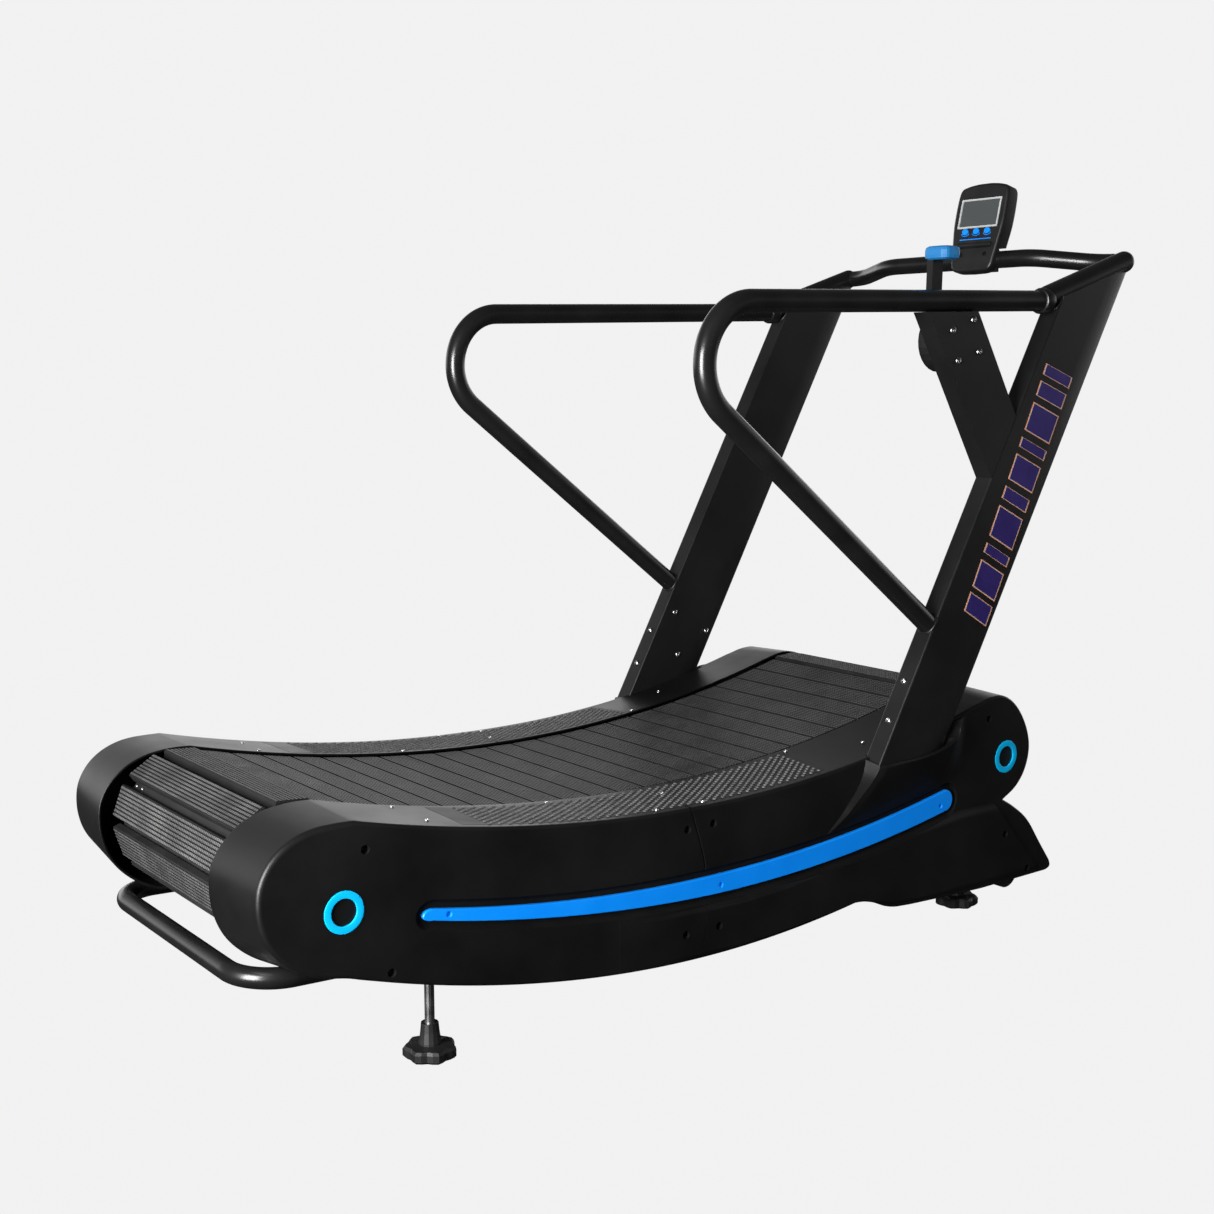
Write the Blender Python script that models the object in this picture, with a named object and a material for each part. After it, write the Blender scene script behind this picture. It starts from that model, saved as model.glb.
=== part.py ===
"""Curved manual treadmill. Metres; +X is the way the runner faces, +Y the runner's left, +Z up.

The right (R) side is at -Y and carries the resistance lever. The origin is on the floor,
under the middle of the bounding box. Every solid is built at its place in the assembly, and the
pieces that turn or slide have their origin moved onto their axis at the end.
"""

import math

import bmesh
import bpy
from mathutils import Matrix, Vector

# ---- running surface
LOW_X, LOW_Z = -0.148, 0.362  # lowest point of the belt's top
CURVE_R = 2.9  # radius of the concave running surface
UNDER_R = 8.0  # radius of the slack lower run
WRAP_R = 0.122  # belt's outer radius round each drum
REAR_X, FRONT_X = -0.890, 0.668  # drum axes
BELT_HALF = 0.229
SLAT_THICK = 0.022
SLAT_PITCH = 0.065
SLAT_GAP = 0.0045

# ---- side covers
COVER_IN, COVER_OUT = 0.2395, 0.392
COVER_LIFT = 0.004  # how far the cover's top stands above the belt
EDGE_ROUND = 0.012
TOP_X0, TOP_X1, TOP_STEPS = -0.855, 0.610, 18
CAMBER = [(-1.100, 0.0), (-0.855, 0.0025), (-0.500, 0.0040), (-0.170, 0.0060), (0.050, 0.0100), (0.250, 0.0130),
          (0.610, 0.0140), (1.100, 0.0140)]  # how much lower the top is at its outer edge
FRONT_IN = [(0.634, 0.4725), (0.655, 0.4762), (0.675, 0.4768), (0.698, 0.4735), (0.722, 0.4650), (0.748, 0.4480),
            (0.770, 0.4255), (0.788, 0.3980), (0.800, 0.3680), (0.8045, 0.3380), (0.801, 0.3050),
            (0.788, 0.2750), (0.768, 0.2520), (0.735, 0.2330)]  # the front end, beside the belt
FRONT_OUT = [(0.634, 0.4590), (0.655, 0.4640), (0.675, 0.4665), (0.698, 0.4665), (0.720, 0.4600), (0.743, 0.4460),
             (0.764, 0.4255), (0.782, 0.4000), (0.7955, 0.3720), (0.802, 0.3430), (0.7985, 0.3110),
             (0.784, 0.2790), (0.758, 0.2530), (0.722, 0.2345)]  # the same at the outer face
REAR_IN = [(-0.845, 0.1795), (-0.873, 0.1815), (-0.902, 0.1835), (-0.932, 0.1895), (-0.962, 0.2045), (-0.989, 0.2255),
           (-1.010, 0.2490), (-1.0245, 0.2760), (-1.0330, 0.3060), (-1.0357, 0.3370), (-1.0325, 0.3670),
           (-1.020, 0.3940), (-1.000, 0.4170), (-0.975, 0.4350), (-0.945, 0.4470), (-0.915, 0.4525), (-0.885, 0.4545)]
REAR_OUT = [(-0.845, 0.1855), (-0.873, 0.1945), (-0.905, 0.2015), (-0.932, 0.2100), (-0.958, 0.2245), (-0.985, 0.2450),
            (-1.004, 0.2670), (-1.0165, 0.2910), (-1.0235, 0.3180), (-1.0250, 0.3450), (-1.0215, 0.3710),
            (-1.011, 0.3950), (-0.9945, 0.4160), (-0.972, 0.4330), (-0.944, 0.4450), (-0.915, 0.4505), (-0.885, 0.4515)]
WALL, TOP_WALL = 0.005, 0.008
SEAM_X, SEAM_GAP = -0.138, 0.0004
BOTTOM_X, BOTTOM_Z, BOTTOM_R = -0.080, 0.064, 2.46
WEDGE = [(0.300, 0.088), (0.330, 0.080), (0.360, 0.066), (0.390, 0.058), (0.440, 0.054), (0.530, 0.050),
         (0.660, 0.045), (0.885, 0.046), (0.899, 0.052), (0.896, 0.066), (0.861, 0.110), (0.841, 0.136),
         (0.821, 0.163), (0.802, 0.183), (0.780, 0.200), (0.746, 0.222)]
BELLY_X0, BELLY_X1 = 0.275, -0.815  # where the cover's bottom arc starts and ends
MOUTH_LIP, MOUTH_DROP = 0.004, 0.024
MOUTH_X0, MOUTH_X1 = -0.780, 0.580  # the cover's opening towards the belt
MOUTH_LOW = [(0.600, 0.260), (0.700, 0.215), (0.850, 0.120), (0.840, 0.020), (-0.080, 0.020),
             (-0.600, 0.060), (-0.780, 0.150)]
AXLE_WAY = 0.034
BULGE_OUT, BULGE_EASE, BULGE_ROOT = 0.432, 0.006, 0.004
BULGE = [(0.172, 0.278), (0.212, 0.296), (0.243, 0.325), (0.264, 0.361), (0.274, 0.389), (0.330, 0.382),
         (0.400, 0.383), (0.470, 0.392), (0.530, 0.412), (0.566, 0.432), (0.560, 0.380), (0.480, 0.320),
         (0.360, 0.286), (0.260, 0.272)]

# ---- foot ledges, strips and rings
LEDGE_IN, LEDGE_OUT = 0.252, 0.374
LEDGE_ENDS = ((-0.645, -0.1385), (-0.1375, 0.190))
LEDGE_DEEP, LEDGE_PROUD = 0.0036, 0.0012
STRIP_X0, STRIP_X1 = -0.738, 0.552
STRIP_LOW_X, STRIP_LOW_Z, STRIP_R = -0.073, 0.2025, 3.1
STRIP_H0, STRIP_H1, STRIP_H2 = 0.020, 0.037, 0.046  # height at the rear, the middle and the front
CHANNEL_DEEP, CHANNEL_EDGE = 0.004, 0.011
STRIP_PROUD = 0.001
RING_R, RING_HOLE, RING_SINK, RING_PROUD = 0.0352, 0.0228, 0.002, 0.0015
RINGS = {"rear": (-0.878, 0.307), "front": (0.722, 0.330)}

# ---- frame
PLATE_IN, PLATE_OUT = 0.2600, 0.2680
PLATE_X0, PLATE_X1, PLATE_DROP = -0.840, 0.610, 0.016  # ends of the side plate's curved top, and its depth
PLATE_EDGE = [(0.705, 0.435), (0.765, 0.360), (0.715, 0.290), (0.700, 0.200), (0.828, 0.070), (0.828, 0.030),
              (0.776, 0.030), (0.700, 0.130), (0.670, 0.160), (0.670, 0.1923), (-0.760, 0.1923),
              (-0.800, 0.230), (-0.960, 0.280), (-0.970, 0.360), (-0.930, 0.410)]
PLATE_SLOTS, SLOT_LOW, SLOT_DROP = ((-0.640, -0.480), (-0.400, -0.200), (-0.120, 0.080)), 0.225, 0.055
BRACKET = [(0.320, 0.255), (0.410, 0.255), (0.430, 0.345), (0.330, 0.345)]
CROSS_X = {"rear": -0.692, "front": 0.649}
CROSS_HALF, CROSS_TOP, CROSS_HIGH = 0.362, 0.192, 0.036
CROSS_SIDE, CROSS_WALL = 0.020, 0.004
FOOT_Y = 0.335
ROD_R, ROD_LOW, ROD_TOP, ROD_EASE = 0.0085, 0.0253, 0.215, 0.002
ROD_WAY_Y, ROD_WAY_X = 0.024, 0.024
KNOB_R, KNOB_LOBES, KNOB_CUT = 0.047, 7, 0.14
KNOB_LINE = [(0.043, 0.000), (0.047, 0.004), (0.047, 0.016), (0.043, 0.021), (0.0200, 0.0225)]
COLLAR_LINE = [(0.0190, 0.010), (0.0190, 0.026), (0.0165, 0.044), (0.0150, 0.060)]
AXLE_R, AXLE_HALF = 0.0125, 0.352
DRUM_R = WRAP_R - SLAT_THICK - 0.0040
DRUM_HALF, DRUM_RIM, DRUM_WEB = 0.210, 0.006, 0.005  # half width, rim thickness, half the web's thickness
HUB_R, HUB_HALF = 0.026, 0.215
RUNNING = 0.00008  # radial clearance of a running fit
GAP = 0.0003  # clearance between fixed neighbours
FAR = 2.0  # reach of the cutters that have no limit of their own
BLOCK_OUT, BLOCK_HALF, BLOCK_R, BLOCK_FOOT, BLOCK_LIP = 0.3020, 0.045, 0.034, 0.040, 0.026
AXLE_HOLE = 0.0150
TRACK_X0, TRACK_X1, TRACK_TOP, TRACK_LOW = -0.760, 0.570, 0.030, 0.062  # rails that carry the slat ends
TRACK_IN, TRACK_OUT = 0.2450, 0.2590
ROLLER_R, ROLLER_DROP, ROLLER_IN, ROLLER_OUT = 0.0120, 0.0412, 0.2200, 0.2470
ROLLER_X0, ROLLER_X1, ROLLERS = -0.730, 0.540, 14
WHEEL_X, WHEEL_Z, WHEEL_R, WHEEL_Y0, WHEEL_Y1 = 0.802, 0.045, 0.035, 0.318, 0.348
WHEEL_PIN, WHEEL_WAY, WHEEL_WAY_TOP, WHEEL_WAY_IN, WHEEL_WAY_OUT = 0.0080, 0.045, 0.115, 0.255, 0.356

# ---- uprights and handrails
UP_IN, UP_OUT = 0.3805, 0.4220
UP_X, UP_LEAN, UP_DEEP = 0.092, 0.5387, 0.202  # rear face at z = 0, run per rise, depth along X
UP_FOOT, UP_TOP = 0.285, 1.470
UP_WALL, UP_HOLLOW_TOP = 0.003, 1.160
UP_NOSE, UP_EASE = 0.075, 0.004  # how far the rounded front tapers, and the rear corners' chamfer
NOSE_X = 1.0355  # the front is cut off upright here, behind the cap's round end
CAP_R = 0.0225
CAP_REAR, CAP_FRONT = (0.7650, 1.2920), (1.0130, 1.3705)
RAIL_Y, RAIL_R, RAIL_BEND = 0.4013, 0.0208, 0.108
RAIL_START, RAIL_CORNER, RAIL_FOOT = (0.7424, 1.2828), (-0.3613, 1.2526), (0.4420, 0.6446)
BAR_R, BAR_BEND = 0.0188, 0.155
BAR = [(1.0100, 0.3784, 1.3705), (1.0100, 0.3440, 1.3712), (0.9500, 0.2100, 1.3880)]  # left end and corners

# ---- brace and resistance lever, on the right side only
BRACE_TOP, BRACE_FOOT, BRACE_WIDE = (0.4700, 1.2350), (0.6260, 0.9910), 0.122
PIVOT = (0.4955, 1.2000)
BRACE_OVER, BRACE_UNDER, BRACE_WALL = 0.06, 0.14, 0.004  # spare length at each end, and the wall
BRACE_ROOF = ((0.0, 1.2415), (0.9, 1.2661))  # the line just under the handrail that its top follows
DISC_R, DISC_Y0, DISC_Y1 = 0.060, 0.3520, 0.3800
BOSS_R, BOSS_PROUD, BOSS_ROOT = 0.0100, 0.002, 0.004
LEVER_Y0, LEVER_Y1, LEVER_WIDE, LEVER_TOP, LEVER_ROOT = 0.3270, 0.3420, 0.030, 1.3560, 0.022
GRIP, GRIP_X, GRIP_Y = (0.050, 0.062, 0.026), 0.004, 0.014  # size, and how far it sits off the lever's middle
GRIP_ROWS = [(0.78, 0.0), (0.96, 0.12), (1.0, 0.35), (1.0, 0.70), (0.94, 0.90), (0.78, 1.0)]
CABLE_R, CABLE_HOLE, CABLE_WAY, CABLE_BEND = 0.0025, 0.006, 0.0070, 0.016
CABLE_AT = (0.030, -0.020)  # where the cable leaves the housing, from the lever's pivot
CABLE_PATH = [(0.6400, -0.4010, 0.9850), (0.3300, -0.4010, 0.3600), (0.2920, -0.3960, 0.3200),
              (0.2920, -0.3500, 0.3000), (0.3000, -0.3450, 0.2200), (0.4600, -0.3450, 0.1600),
              (0.5400, -0.3400, 0.2350)]
CABLE_WAYS = ([(0.5990, -0.4010, 1.0550), (0.6460, -0.4010, 0.9750)],
              [(0.2920, -0.4000, 0.3220), (0.2920, -0.3700, 0.3060)])
BRAKE_R, BRAKE_Y0, BRAKE_Y1 = 0.088, 0.318, 0.324
YOKE_PIVOT, YOKE_PIN, YOKE_SIDE, YOKE_SLOT, YOKE_CLEAR = (0.538, 0.300), 0.0060, 0.010, 0.003, 0.016
YOKE = [(-0.018, -0.016), (0.018, -0.018), (0.040, 0.020), (0.040, 0.085), (0.005, 0.085), (-0.018, 0.020)]

# ---- console
CON_Y, CON_WIDE = -0.068, 0.142
CON_FACE = ((0.9140, 1.3620), (0.9560, 1.5600))  # bottom and top of the sloping face
CON_DEEP, CON_EASE, CON_NECK, CON_STEP = 0.040, 0.008, 0.070, 0.016
CLAMP_HALF, CLAMP_OVER, CLAMP_BEHIND, CLAMP_SPLIT = 0.034, 0.0050, 0.006, 0.012
SCREEN_WIDE, SCREEN_LOW, SCREEN_HIGH = 0.104, 0.104, 0.162
SCREEN_EDGE, SCREEN_SEAT, SCREEN_PROUD = 0.004, 0.0060, 0.0010
BUTTON_R, BUTTON_TRAVEL, BUTTON_UP, BUTTON_STEP = 0.0085, 0.0012, 0.092, 0.031
BUTTON_SLACK, BUTTON_SEAT, BUTTON_PROUD, BUTTON_SQUASH = 0.0006, 0.0060, 0.0016, 0.8

# ---- lift handle
LIFT_LEG = [(-0.7122, 0.290, 0.1740), (-0.7600, 0.290, 0.1740), (-0.9970, 0.290, 0.1830)]  # the left leg
LIFT_R, LIFT_BEND = 0.0180, 0.080

BLACK = ("black_plastic", (0.012, 0.012, 0.013), 0.0, 0.42)
PAINT = ("charcoal_paint", (0.030, 0.031, 0.033), 0.3, 0.38)
STEEL = ("bright_steel", (0.55, 0.55, 0.56), 1.0, 0.30)
RUBBER = ("slat_rubber", (0.020, 0.020, 0.020), 0.0, 0.80)
BLUE = ("accent_blue", (0.010, 0.220, 0.840), 0.0, 0.30)
AZURE = ("grip_azure", (0.020, 0.300, 0.860), 0.0, 0.35)
GREY = ("frame_grey", (0.400, 0.410, 0.420), 0.0, 0.45)
SCREEN = ("screen", (0.120, 0.140, 0.140), 0.0, 0.12)
KNOB = ("knob_black", (0.015, 0.015, 0.015), 0.0, 0.55)
GREASE = ("cast_grey", (0.100, 0.100, 0.105), 0.6, 0.55)

for old in list(bpy.data.objects):
    bpy.data.objects.remove(old)


# ---------------------------------------------------------------- helpers
def material(look):
    name, rgb, metallic, roughness = look
    found = bpy.data.materials.get(name)
    if found:
        return found
    made = bpy.data.materials.new(name)
    made.use_nodes = True
    shader = made.node_tree.nodes["Principled BSDF"]
    shader.inputs["Base Color"].default_value = (*rgb, 1.0)
    shader.inputs["Metallic"].default_value = metallic
    shader.inputs["Roughness"].default_value = roughness
    made.diffuse_color = (*rgb, 1.0)
    return made


def add(name, points, faces, look=BLACK):
    """One mesh object; its faces are turned to point outwards."""
    mesh = bpy.data.meshes.new(name)
    mesh.from_pydata([tuple(p) for p in points], [], faces)
    work = bmesh.new()
    work.from_mesh(mesh)
    bmesh.ops.recalc_face_normals(work, faces=work.faces)
    work.to_mesh(mesh)
    work.free()
    made = bpy.data.objects.new(name, mesh)
    bpy.context.scene.collection.objects.link(made)
    mesh.materials.append(material(look))
    return made


def loft(name, rings, look=BLACK):
    """Joins rings of equal point count and closes both ends."""
    count = len(rings[0])
    points = [p for ring in rings for p in ring]
    faces = [list(range(count)), list(range(len(points) - count, len(points)))]
    for row in range(len(rings) - 1):
        for i in range(count):
            j = (i + 1) % count
            faces.append([row * count + i, row * count + j, (row + 1) * count + j, (row + 1) * count + i])
    return add(name, points, faces, look)


def prism(name, outline, y0, y1, look=BLACK):
    """An (x, z) outline drawn out along Y."""
    return loft(name, [[(x, y, z) for x, z in outline] for y in (y0, y1)], look)


def box(name, low, high, look=BLACK):
    outline = [(low[0], low[2]), (high[0], low[2]), (high[0], high[2]), (low[0], high[2])]
    return prism(name, outline, low[1], high[1], look)


def circle(x, z, radius, count, turn=0.0):
    steps = [turn + 2 * math.pi * i / count for i in range(count)]
    return [(x + radius * math.cos(a), z + radius * math.sin(a)) for a in steps]


def disc(name, x, z, radius, y0, y1, look=BLACK, count=32):
    return prism(name, circle(x, z, radius, count), y0, y1, look)


def turned(name, x, y, profile, look=BLACK, count=24, lobes=0, depth=0.0):
    """A vertical turned piece from (radius, z) pairs, with optional lobes round it."""
    rings = []
    for radius, z in profile:
        ring = []
        for i in range(count):
            a = 2 * math.pi * i / count
            r = radius * (1 - depth * (0.5 - 0.5 * math.cos(lobes * a))) if lobes else radius
            ring.append((x + r * math.cos(a), y + r * math.sin(a), z))
        rings.append(ring)
    return loft(name, rings, look)


def rounded(points, radius, steps):
    """A 3-D path with each inner corner turned into an arc."""
    points = [Vector(p) for p in points]
    path = [points[0]]
    for before, here, after in zip(points, points[1:], points[2:]):
        u, v = (before - here).normalized(), (after - here).normalized()
        half = u.angle(v) / 2
        reach = radius / math.tan(half)
        centre = here + (u + v).normalized() * radius / math.sin(half)
        start, end = here + u * reach - centre, here + v * reach - centre
        axis, sweep = start.cross(end).normalized(), start.angle(end)
        path += [centre + Matrix.Rotation(sweep * k / steps, 3, axis) @ start for k in range(steps + 1)]
    return path + [points[-1]]


def tube(name, path, radius, look=PAINT, count=12):
    """A round bar along a path, with its frame carried along so that it doesn't twist."""
    path = [Vector(p) for p in path]
    rings, side = [], None
    for i, here in enumerate(path):
        into = (here - path[max(i - 1, 0)]).normalized() if i else (path[1] - here).normalized()
        out = (path[min(i + 1, len(path) - 1)] - here).normalized() if i < len(path) - 1 else into
        ahead = (into + out).normalized()
        side = (side or ahead.orthogonal()) - ahead * (side or ahead.orthogonal()).dot(ahead)
        side.normalize()
        up = ahead.cross(side)
        stretch = 1 / max(math.cos(into.angle(out) / 2), 0.5) if into.length and out.length else 1
        spin = [2 * math.pi * k / count for k in range(count)]
        rings.append([here + (side * math.cos(a) + up * math.sin(a)) * radius * stretch for a in spin])
    return loft(name, rings, look)


def boolean(target, others, operation):
    for other in others:
        step = target.modifiers.new("step", "BOOLEAN")
        step.object, step.operation, step.solver = other, operation, "EXACT"
        bpy.context.view_layer.update()
        shape = bpy.data.meshes.new_from_object(target.evaluated_get(bpy.context.evaluated_depsgraph_get()))
        target.modifiers.remove(step)
        target.data = shape
        bpy.data.objects.remove(other)
    return target


def cut(target, *others):
    return boolean(target, others, "DIFFERENCE")


def join(target, *others):
    return boolean(target, others, "UNION")


def clip(target, *others):
    return boolean(target, others, "INTERSECT")


def circle_tangent_z(x, radius, outer):
    """Height of a drum centre at x whose circle just touches the concave curve from below."""
    return outer[1] - math.sqrt((outer[2] + radius) ** 2 - (x - outer[0]) ** 2)


def inset(outline, depth):
    """The outline moved inwards along its corner normals."""
    area = sum(a[0] * b[1] - b[0] * a[1] for a, b in zip(outline, outline[1:] + outline[:1]))
    sign = 1 if area > 0 else -1
    moved = []
    for i, here in enumerate(outline):
        before, after = Vector(outline[i - 1]), Vector(outline[(i + 1) % len(outline)])
        here = Vector(here)
        u, v = (here - before).normalized(), (after - here).normalized()
        normal = Vector((-u.y - v.y, u.x + v.x)).normalized() * sign
        moved.append(tuple(here + normal * depth / max(abs(normal.dot(Vector((-u.y, u.x)))), 0.6)))
    return moved


def arc_z(x, low_x, low_z, radius):
    return low_z + radius - math.sqrt(radius**2 - (x - low_x) ** 2)


def spread(start, end, steps):
    return [start + (end - start) * i / steps for i in range(steps + 1)]


# ---------------------------------------------------------------- belt and drums
CURVE = (LOW_X, LOW_Z + CURVE_R, CURVE_R)
REAR_Z = circle_tangent_z(REAR_X, WRAP_R, CURVE)
FRONT_Z = circle_tangent_z(FRONT_X, WRAP_R, CURVE)


def belt_path(depth):
    """The closed belt line at a depth below its outer face: centres, radii and angles of four arcs."""
    r = WRAP_R - depth
    span = Vector((FRONT_X - REAR_X, FRONT_Z - REAR_Z))
    middle = Vector((REAR_X + FRONT_X, REAR_Z + FRONT_Z)) / 2
    reach = math.sqrt((UNDER_R - r) ** 2 - (span.length / 2) ** 2)
    under = middle + Vector((-span.y, span.x)).normalized() * reach
    top_angle = [math.atan2(z - CURVE[1], x - CURVE[0]) for x, z in ((REAR_X, REAR_Z), (FRONT_X, FRONT_Z))]
    low_angle = [math.atan2(z - under.y, x - under.x) for x, z in ((FRONT_X, FRONT_Z), (REAR_X, REAR_Z))]
    return [((CURVE[0], CURVE[1]), CURVE_R + depth, top_angle[0], top_angle[1]),
            ((FRONT_X, FRONT_Z), r, top_angle[1] + math.pi, low_angle[0]),
            ((under.x, under.y), UNDER_R, low_angle[0], low_angle[1]),
            ((REAR_X, REAR_Z), r, low_angle[1] + 2 * math.pi, top_angle[0] + math.pi)]


def belt_at(distance, arcs):
    """Point and outward direction at a distance along the belt line."""
    lengths = [radius * abs(b - a) for _, radius, a, b in arcs]
    distance %= sum(lengths)
    for (centre, radius, a, b), length in zip(arcs, lengths):
        if distance <= length:
            angle = a + (b - a) * distance / length
            ray = Vector((math.cos(angle), math.sin(angle)))
            inward = radius > UNDER_R / 4 and centre[1] == CURVE[1]
            return Vector(centre) + ray * radius, -ray if inward else ray
        distance -= length
    return None


def slat_belt():
    """Ribbed-slat belt as one closed band: flat slats outside, a smooth carrier inside."""
    arcs = belt_path(SLAT_THICK)
    total = sum(radius * abs(b - a) for _, radius, a, b in arcs)
    count = round(total / SLAT_PITCH)
    pitch = total / count
    outer, inner = [], []
    for k in range(count):
        a, b = belt_at(k * pitch, arcs)[0], belt_at((k + 1) * pitch, arcs)[0]
        middle, normal = belt_at((k + 0.5) * pitch, arcs)
        along = (b - a).normalized()
        up = Vector((-along.y, along.x))
        half = (b - a).length / 2 - SLAT_GAP / 2
        for shift, rise in ((-half, 0.006), (-half, SLAT_THICK), (half, SLAT_THICK), (half, 0.006)):
            outer.append(tuple(middle + along * shift + up * rise))
        inner += [tuple(a - belt_at(k * pitch, arcs)[1] * 0.002), tuple(middle - normal * 0.002)]
    points = [(x, y, z) for y in (-BELT_HALF, BELT_HALF) for ring in (outer, inner) for x, z in ring]
    n, m = len(outer), len(inner)
    faces = []
    for base in (0, n + m):
        for k in range(count):
            o, i, last = base + 4 * k, base + n + 2 * k, k == count - 1
            o_next, i_next = (base if last else o + 4), (base + n if last else i + 2)
            faces += [[o, o + 1, o + 2, o + 3, i + 1], [i, o, i + 1], [o + 3, o_next, i_next, i + 1]]
    for k in range(n):
        j = (k + 1) % n
        faces.append([k, j, j + n + m, k + n + m])
    for k in range(m):
        j = (k + 1) % m
        faces.append([n + k, n + j, n + j + n + m, n + k + n + m])
    return add("slat_belt", points, faces, RUBBER)


def drum(where, x, z):
    """A hollow-faced drum fixed on a turning axle."""
    axle = disc(f"{where}_axle", x, z, AXLE_R, -AXLE_HALF, AXLE_HALF, STEEL, 32)
    body = disc(f"{where}_drum", x, z, DRUM_R, -DRUM_HALF, DRUM_HALF, GREASE, 24)
    dishes = [disc("dish", x, z, DRUM_R - DRUM_RIM, s * DRUM_WEB, s * COVER_OUT, GREASE, 24) for s in (-1, 1)]
    cut(body, *dishes)
    hubs = [disc("hub", x, z, HUB_R, s * DRUM_WEB / 2, s * HUB_HALF, GREASE, 16) for s in (-1, 1)]
    join(body, *hubs)
    cut(body, disc("bore", x, z, AXLE_R + RUNNING, -COVER_OUT, COVER_OUT, GREASE, 32))
    return axle, body


# ---------------------------------------------------------------- side covers
def cover_z(x):
    return arc_z(x, LOW_X, LOW_Z + COVER_LIFT, CURVE_R)


def camber(x, y):
    """How far the cover's top has dropped at x, between its inner and its outer edge."""
    for (x0, a), (x1, b) in zip(CAMBER, CAMBER[1:]):
        if x <= x1:
            drop = a + (b - a) * (x - x0) / (x1 - x0)
            return drop * (abs(y) - COVER_IN) / (COVER_OUT - COVER_IN)
    return 0.0


def cover_outline(y, front, rear):
    """Side view of a whole cover at y, clockwise from the rear end of its top."""
    top = [(x, cover_z(x) - camber(x, y)) for x in spread(TOP_X0, TOP_X1, TOP_STEPS)]
    belly = [(x, arc_z(x, BOTTOM_X, BOTTOM_Z, BOTTOM_R)) for x in spread(BELLY_X0, BELLY_X1, 11)]
    return top + front + WEDGE[::-1] + belly + rear


def side_shell(name, side):
    """The full-length tray of one side: rounded outer edge, hollow, open towards the belt."""
    inner = cover_outline(COVER_IN, FRONT_IN, REAR_IN)
    outer = cover_outline(COVER_OUT, FRONT_OUT, REAR_OUT)
    rings = [[(x, side * COVER_IN, z) for x, z in inner]]
    for step in range(3):
        a = math.radians(45 * step)
        flat = inset(outer, EDGE_ROUND * (1 - math.cos(a))) if step else outer
        y = side * (COVER_OUT - EDGE_ROUND + EDGE_ROUND * math.sin(a))
        rings.append([(x, y, z) for x, z in flat])
    shell = loft(name, rings)
    bulge = [[(x, side * (COVER_OUT - BULGE_ROOT), z) for x, z in BULGE],
             [(x, side * (BULGE_OUT - BULGE_EASE), z) for x, z in inset(BULGE, BULGE_EASE / 6)],
             [(x, side * BULGE_OUT, z) for x, z in inset(BULGE, BULGE_EASE)]]
    join(shell, loft("bulge", bulge))
    cavity = []
    for y, outline in ((COVER_IN + MOUTH_LIP, inner), (COVER_OUT - EDGE_ROUND, outer)):
        hollow = inset(outline, WALL)
        cavity.append([(x, side * y, z - (TOP_WALL - WALL) if 0 < i < TOP_STEPS else z)
                       for i, (x, z) in enumerate(hollow)])
    cavity.append([(x, side * (COVER_OUT - WALL), z) for x, z in inset(outer, EDGE_ROUND * 0.55 + WALL)])
    cut(shell, loft("hollow", cavity))
    mouth = [(x, cover_z(x) - MOUTH_DROP) for x in spread(MOUTH_X0, MOUTH_X1, 16)] + MOUTH_LOW
    cut(shell, prism("mouth", mouth, side * (COVER_IN - MOUTH_LIP), side * (COVER_IN + 1.5 * MOUTH_LIP)))
    axles = [disc("axle_hole", x, z, AXLE_WAY, side * BELT_HALF, side * PLATE_IN, BLACK, 32)
             for x, z in ((REAR_X, REAR_Z), (FRONT_X, FRONT_Z))]
    cut(shell, *axles)
    return shell


def upright_outline(grow):
    """The (x, z) parallelogram an upright fills, from its foot to above its cap, made larger by grow."""
    low, high = UP_FOOT - grow, UP_TOP
    rear = [UP_X + UP_LEAN * z - grow for z in (low, high)]
    front = [UP_X + UP_DEEP + UP_LEAN * z + grow for z in (low, high)]
    return [(rear[0], low), (front[0], low), (front[1], high), (rear[1], high)]


def strip_outline(grow=0.0):
    """The accent strip in side view: an arc that gets taller towards the front, with round ends."""
    upper, lower = [], []
    for x in spread(STRIP_X0 + 0.012, STRIP_X1 - 0.020, 22):
        t = (x - STRIP_X0) / (STRIP_X1 - STRIP_X0)
        high = (STRIP_H0 + (STRIP_H1 - STRIP_H0) * t / 0.5 if t < 0.5
                else STRIP_H1 + (STRIP_H2 - STRIP_H1) * (t - 0.5) / 0.5)
        z = arc_z(x, STRIP_LOW_X, STRIP_LOW_Z, STRIP_R)
        upper.append((x, z + high / 2 + grow))
        lower.append((x, z - high / 2 - grow))

    def end(top, bottom, way):
        middle, half = (Vector(top) + Vector(bottom)) / 2, (Vector(top) - Vector(bottom)) / 2
        push = Vector((half.y, -half.x)) * way
        return [tuple(middle + half * math.cos(a) + push * math.sin(a)) for a in spread(0, math.pi, 6)[1:-1]]

    return upper + end(upper[-1], lower[-1], 0.9) + lower[::-1] + end(lower[0], upper[0], 0.9)


def ledge(name, x0, x1, low, high, y0, y1):
    """A strip of the cover's top from low to high above its surface, following its camber."""
    rings = []
    for y in (y0, y1):
        top = [(x, y, cover_z(x) - camber(x, y) + high) for x in spread(x0, x1, 10)]
        rings.append(top + [(x, y, cover_z(x) - camber(x, y) + low) for x in spread(x1, x0, 10)])
    return loft(name, rings)


def lift_bar(name, radius):
    """A U of round bar: two legs from the rear cross member, joined across the back."""
    return tube(name, rounded(LIFT_LEG + [(x, -y, z) for x, y, z in LIFT_LEG[::-1]], LIFT_BEND, 6), radius)


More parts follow.
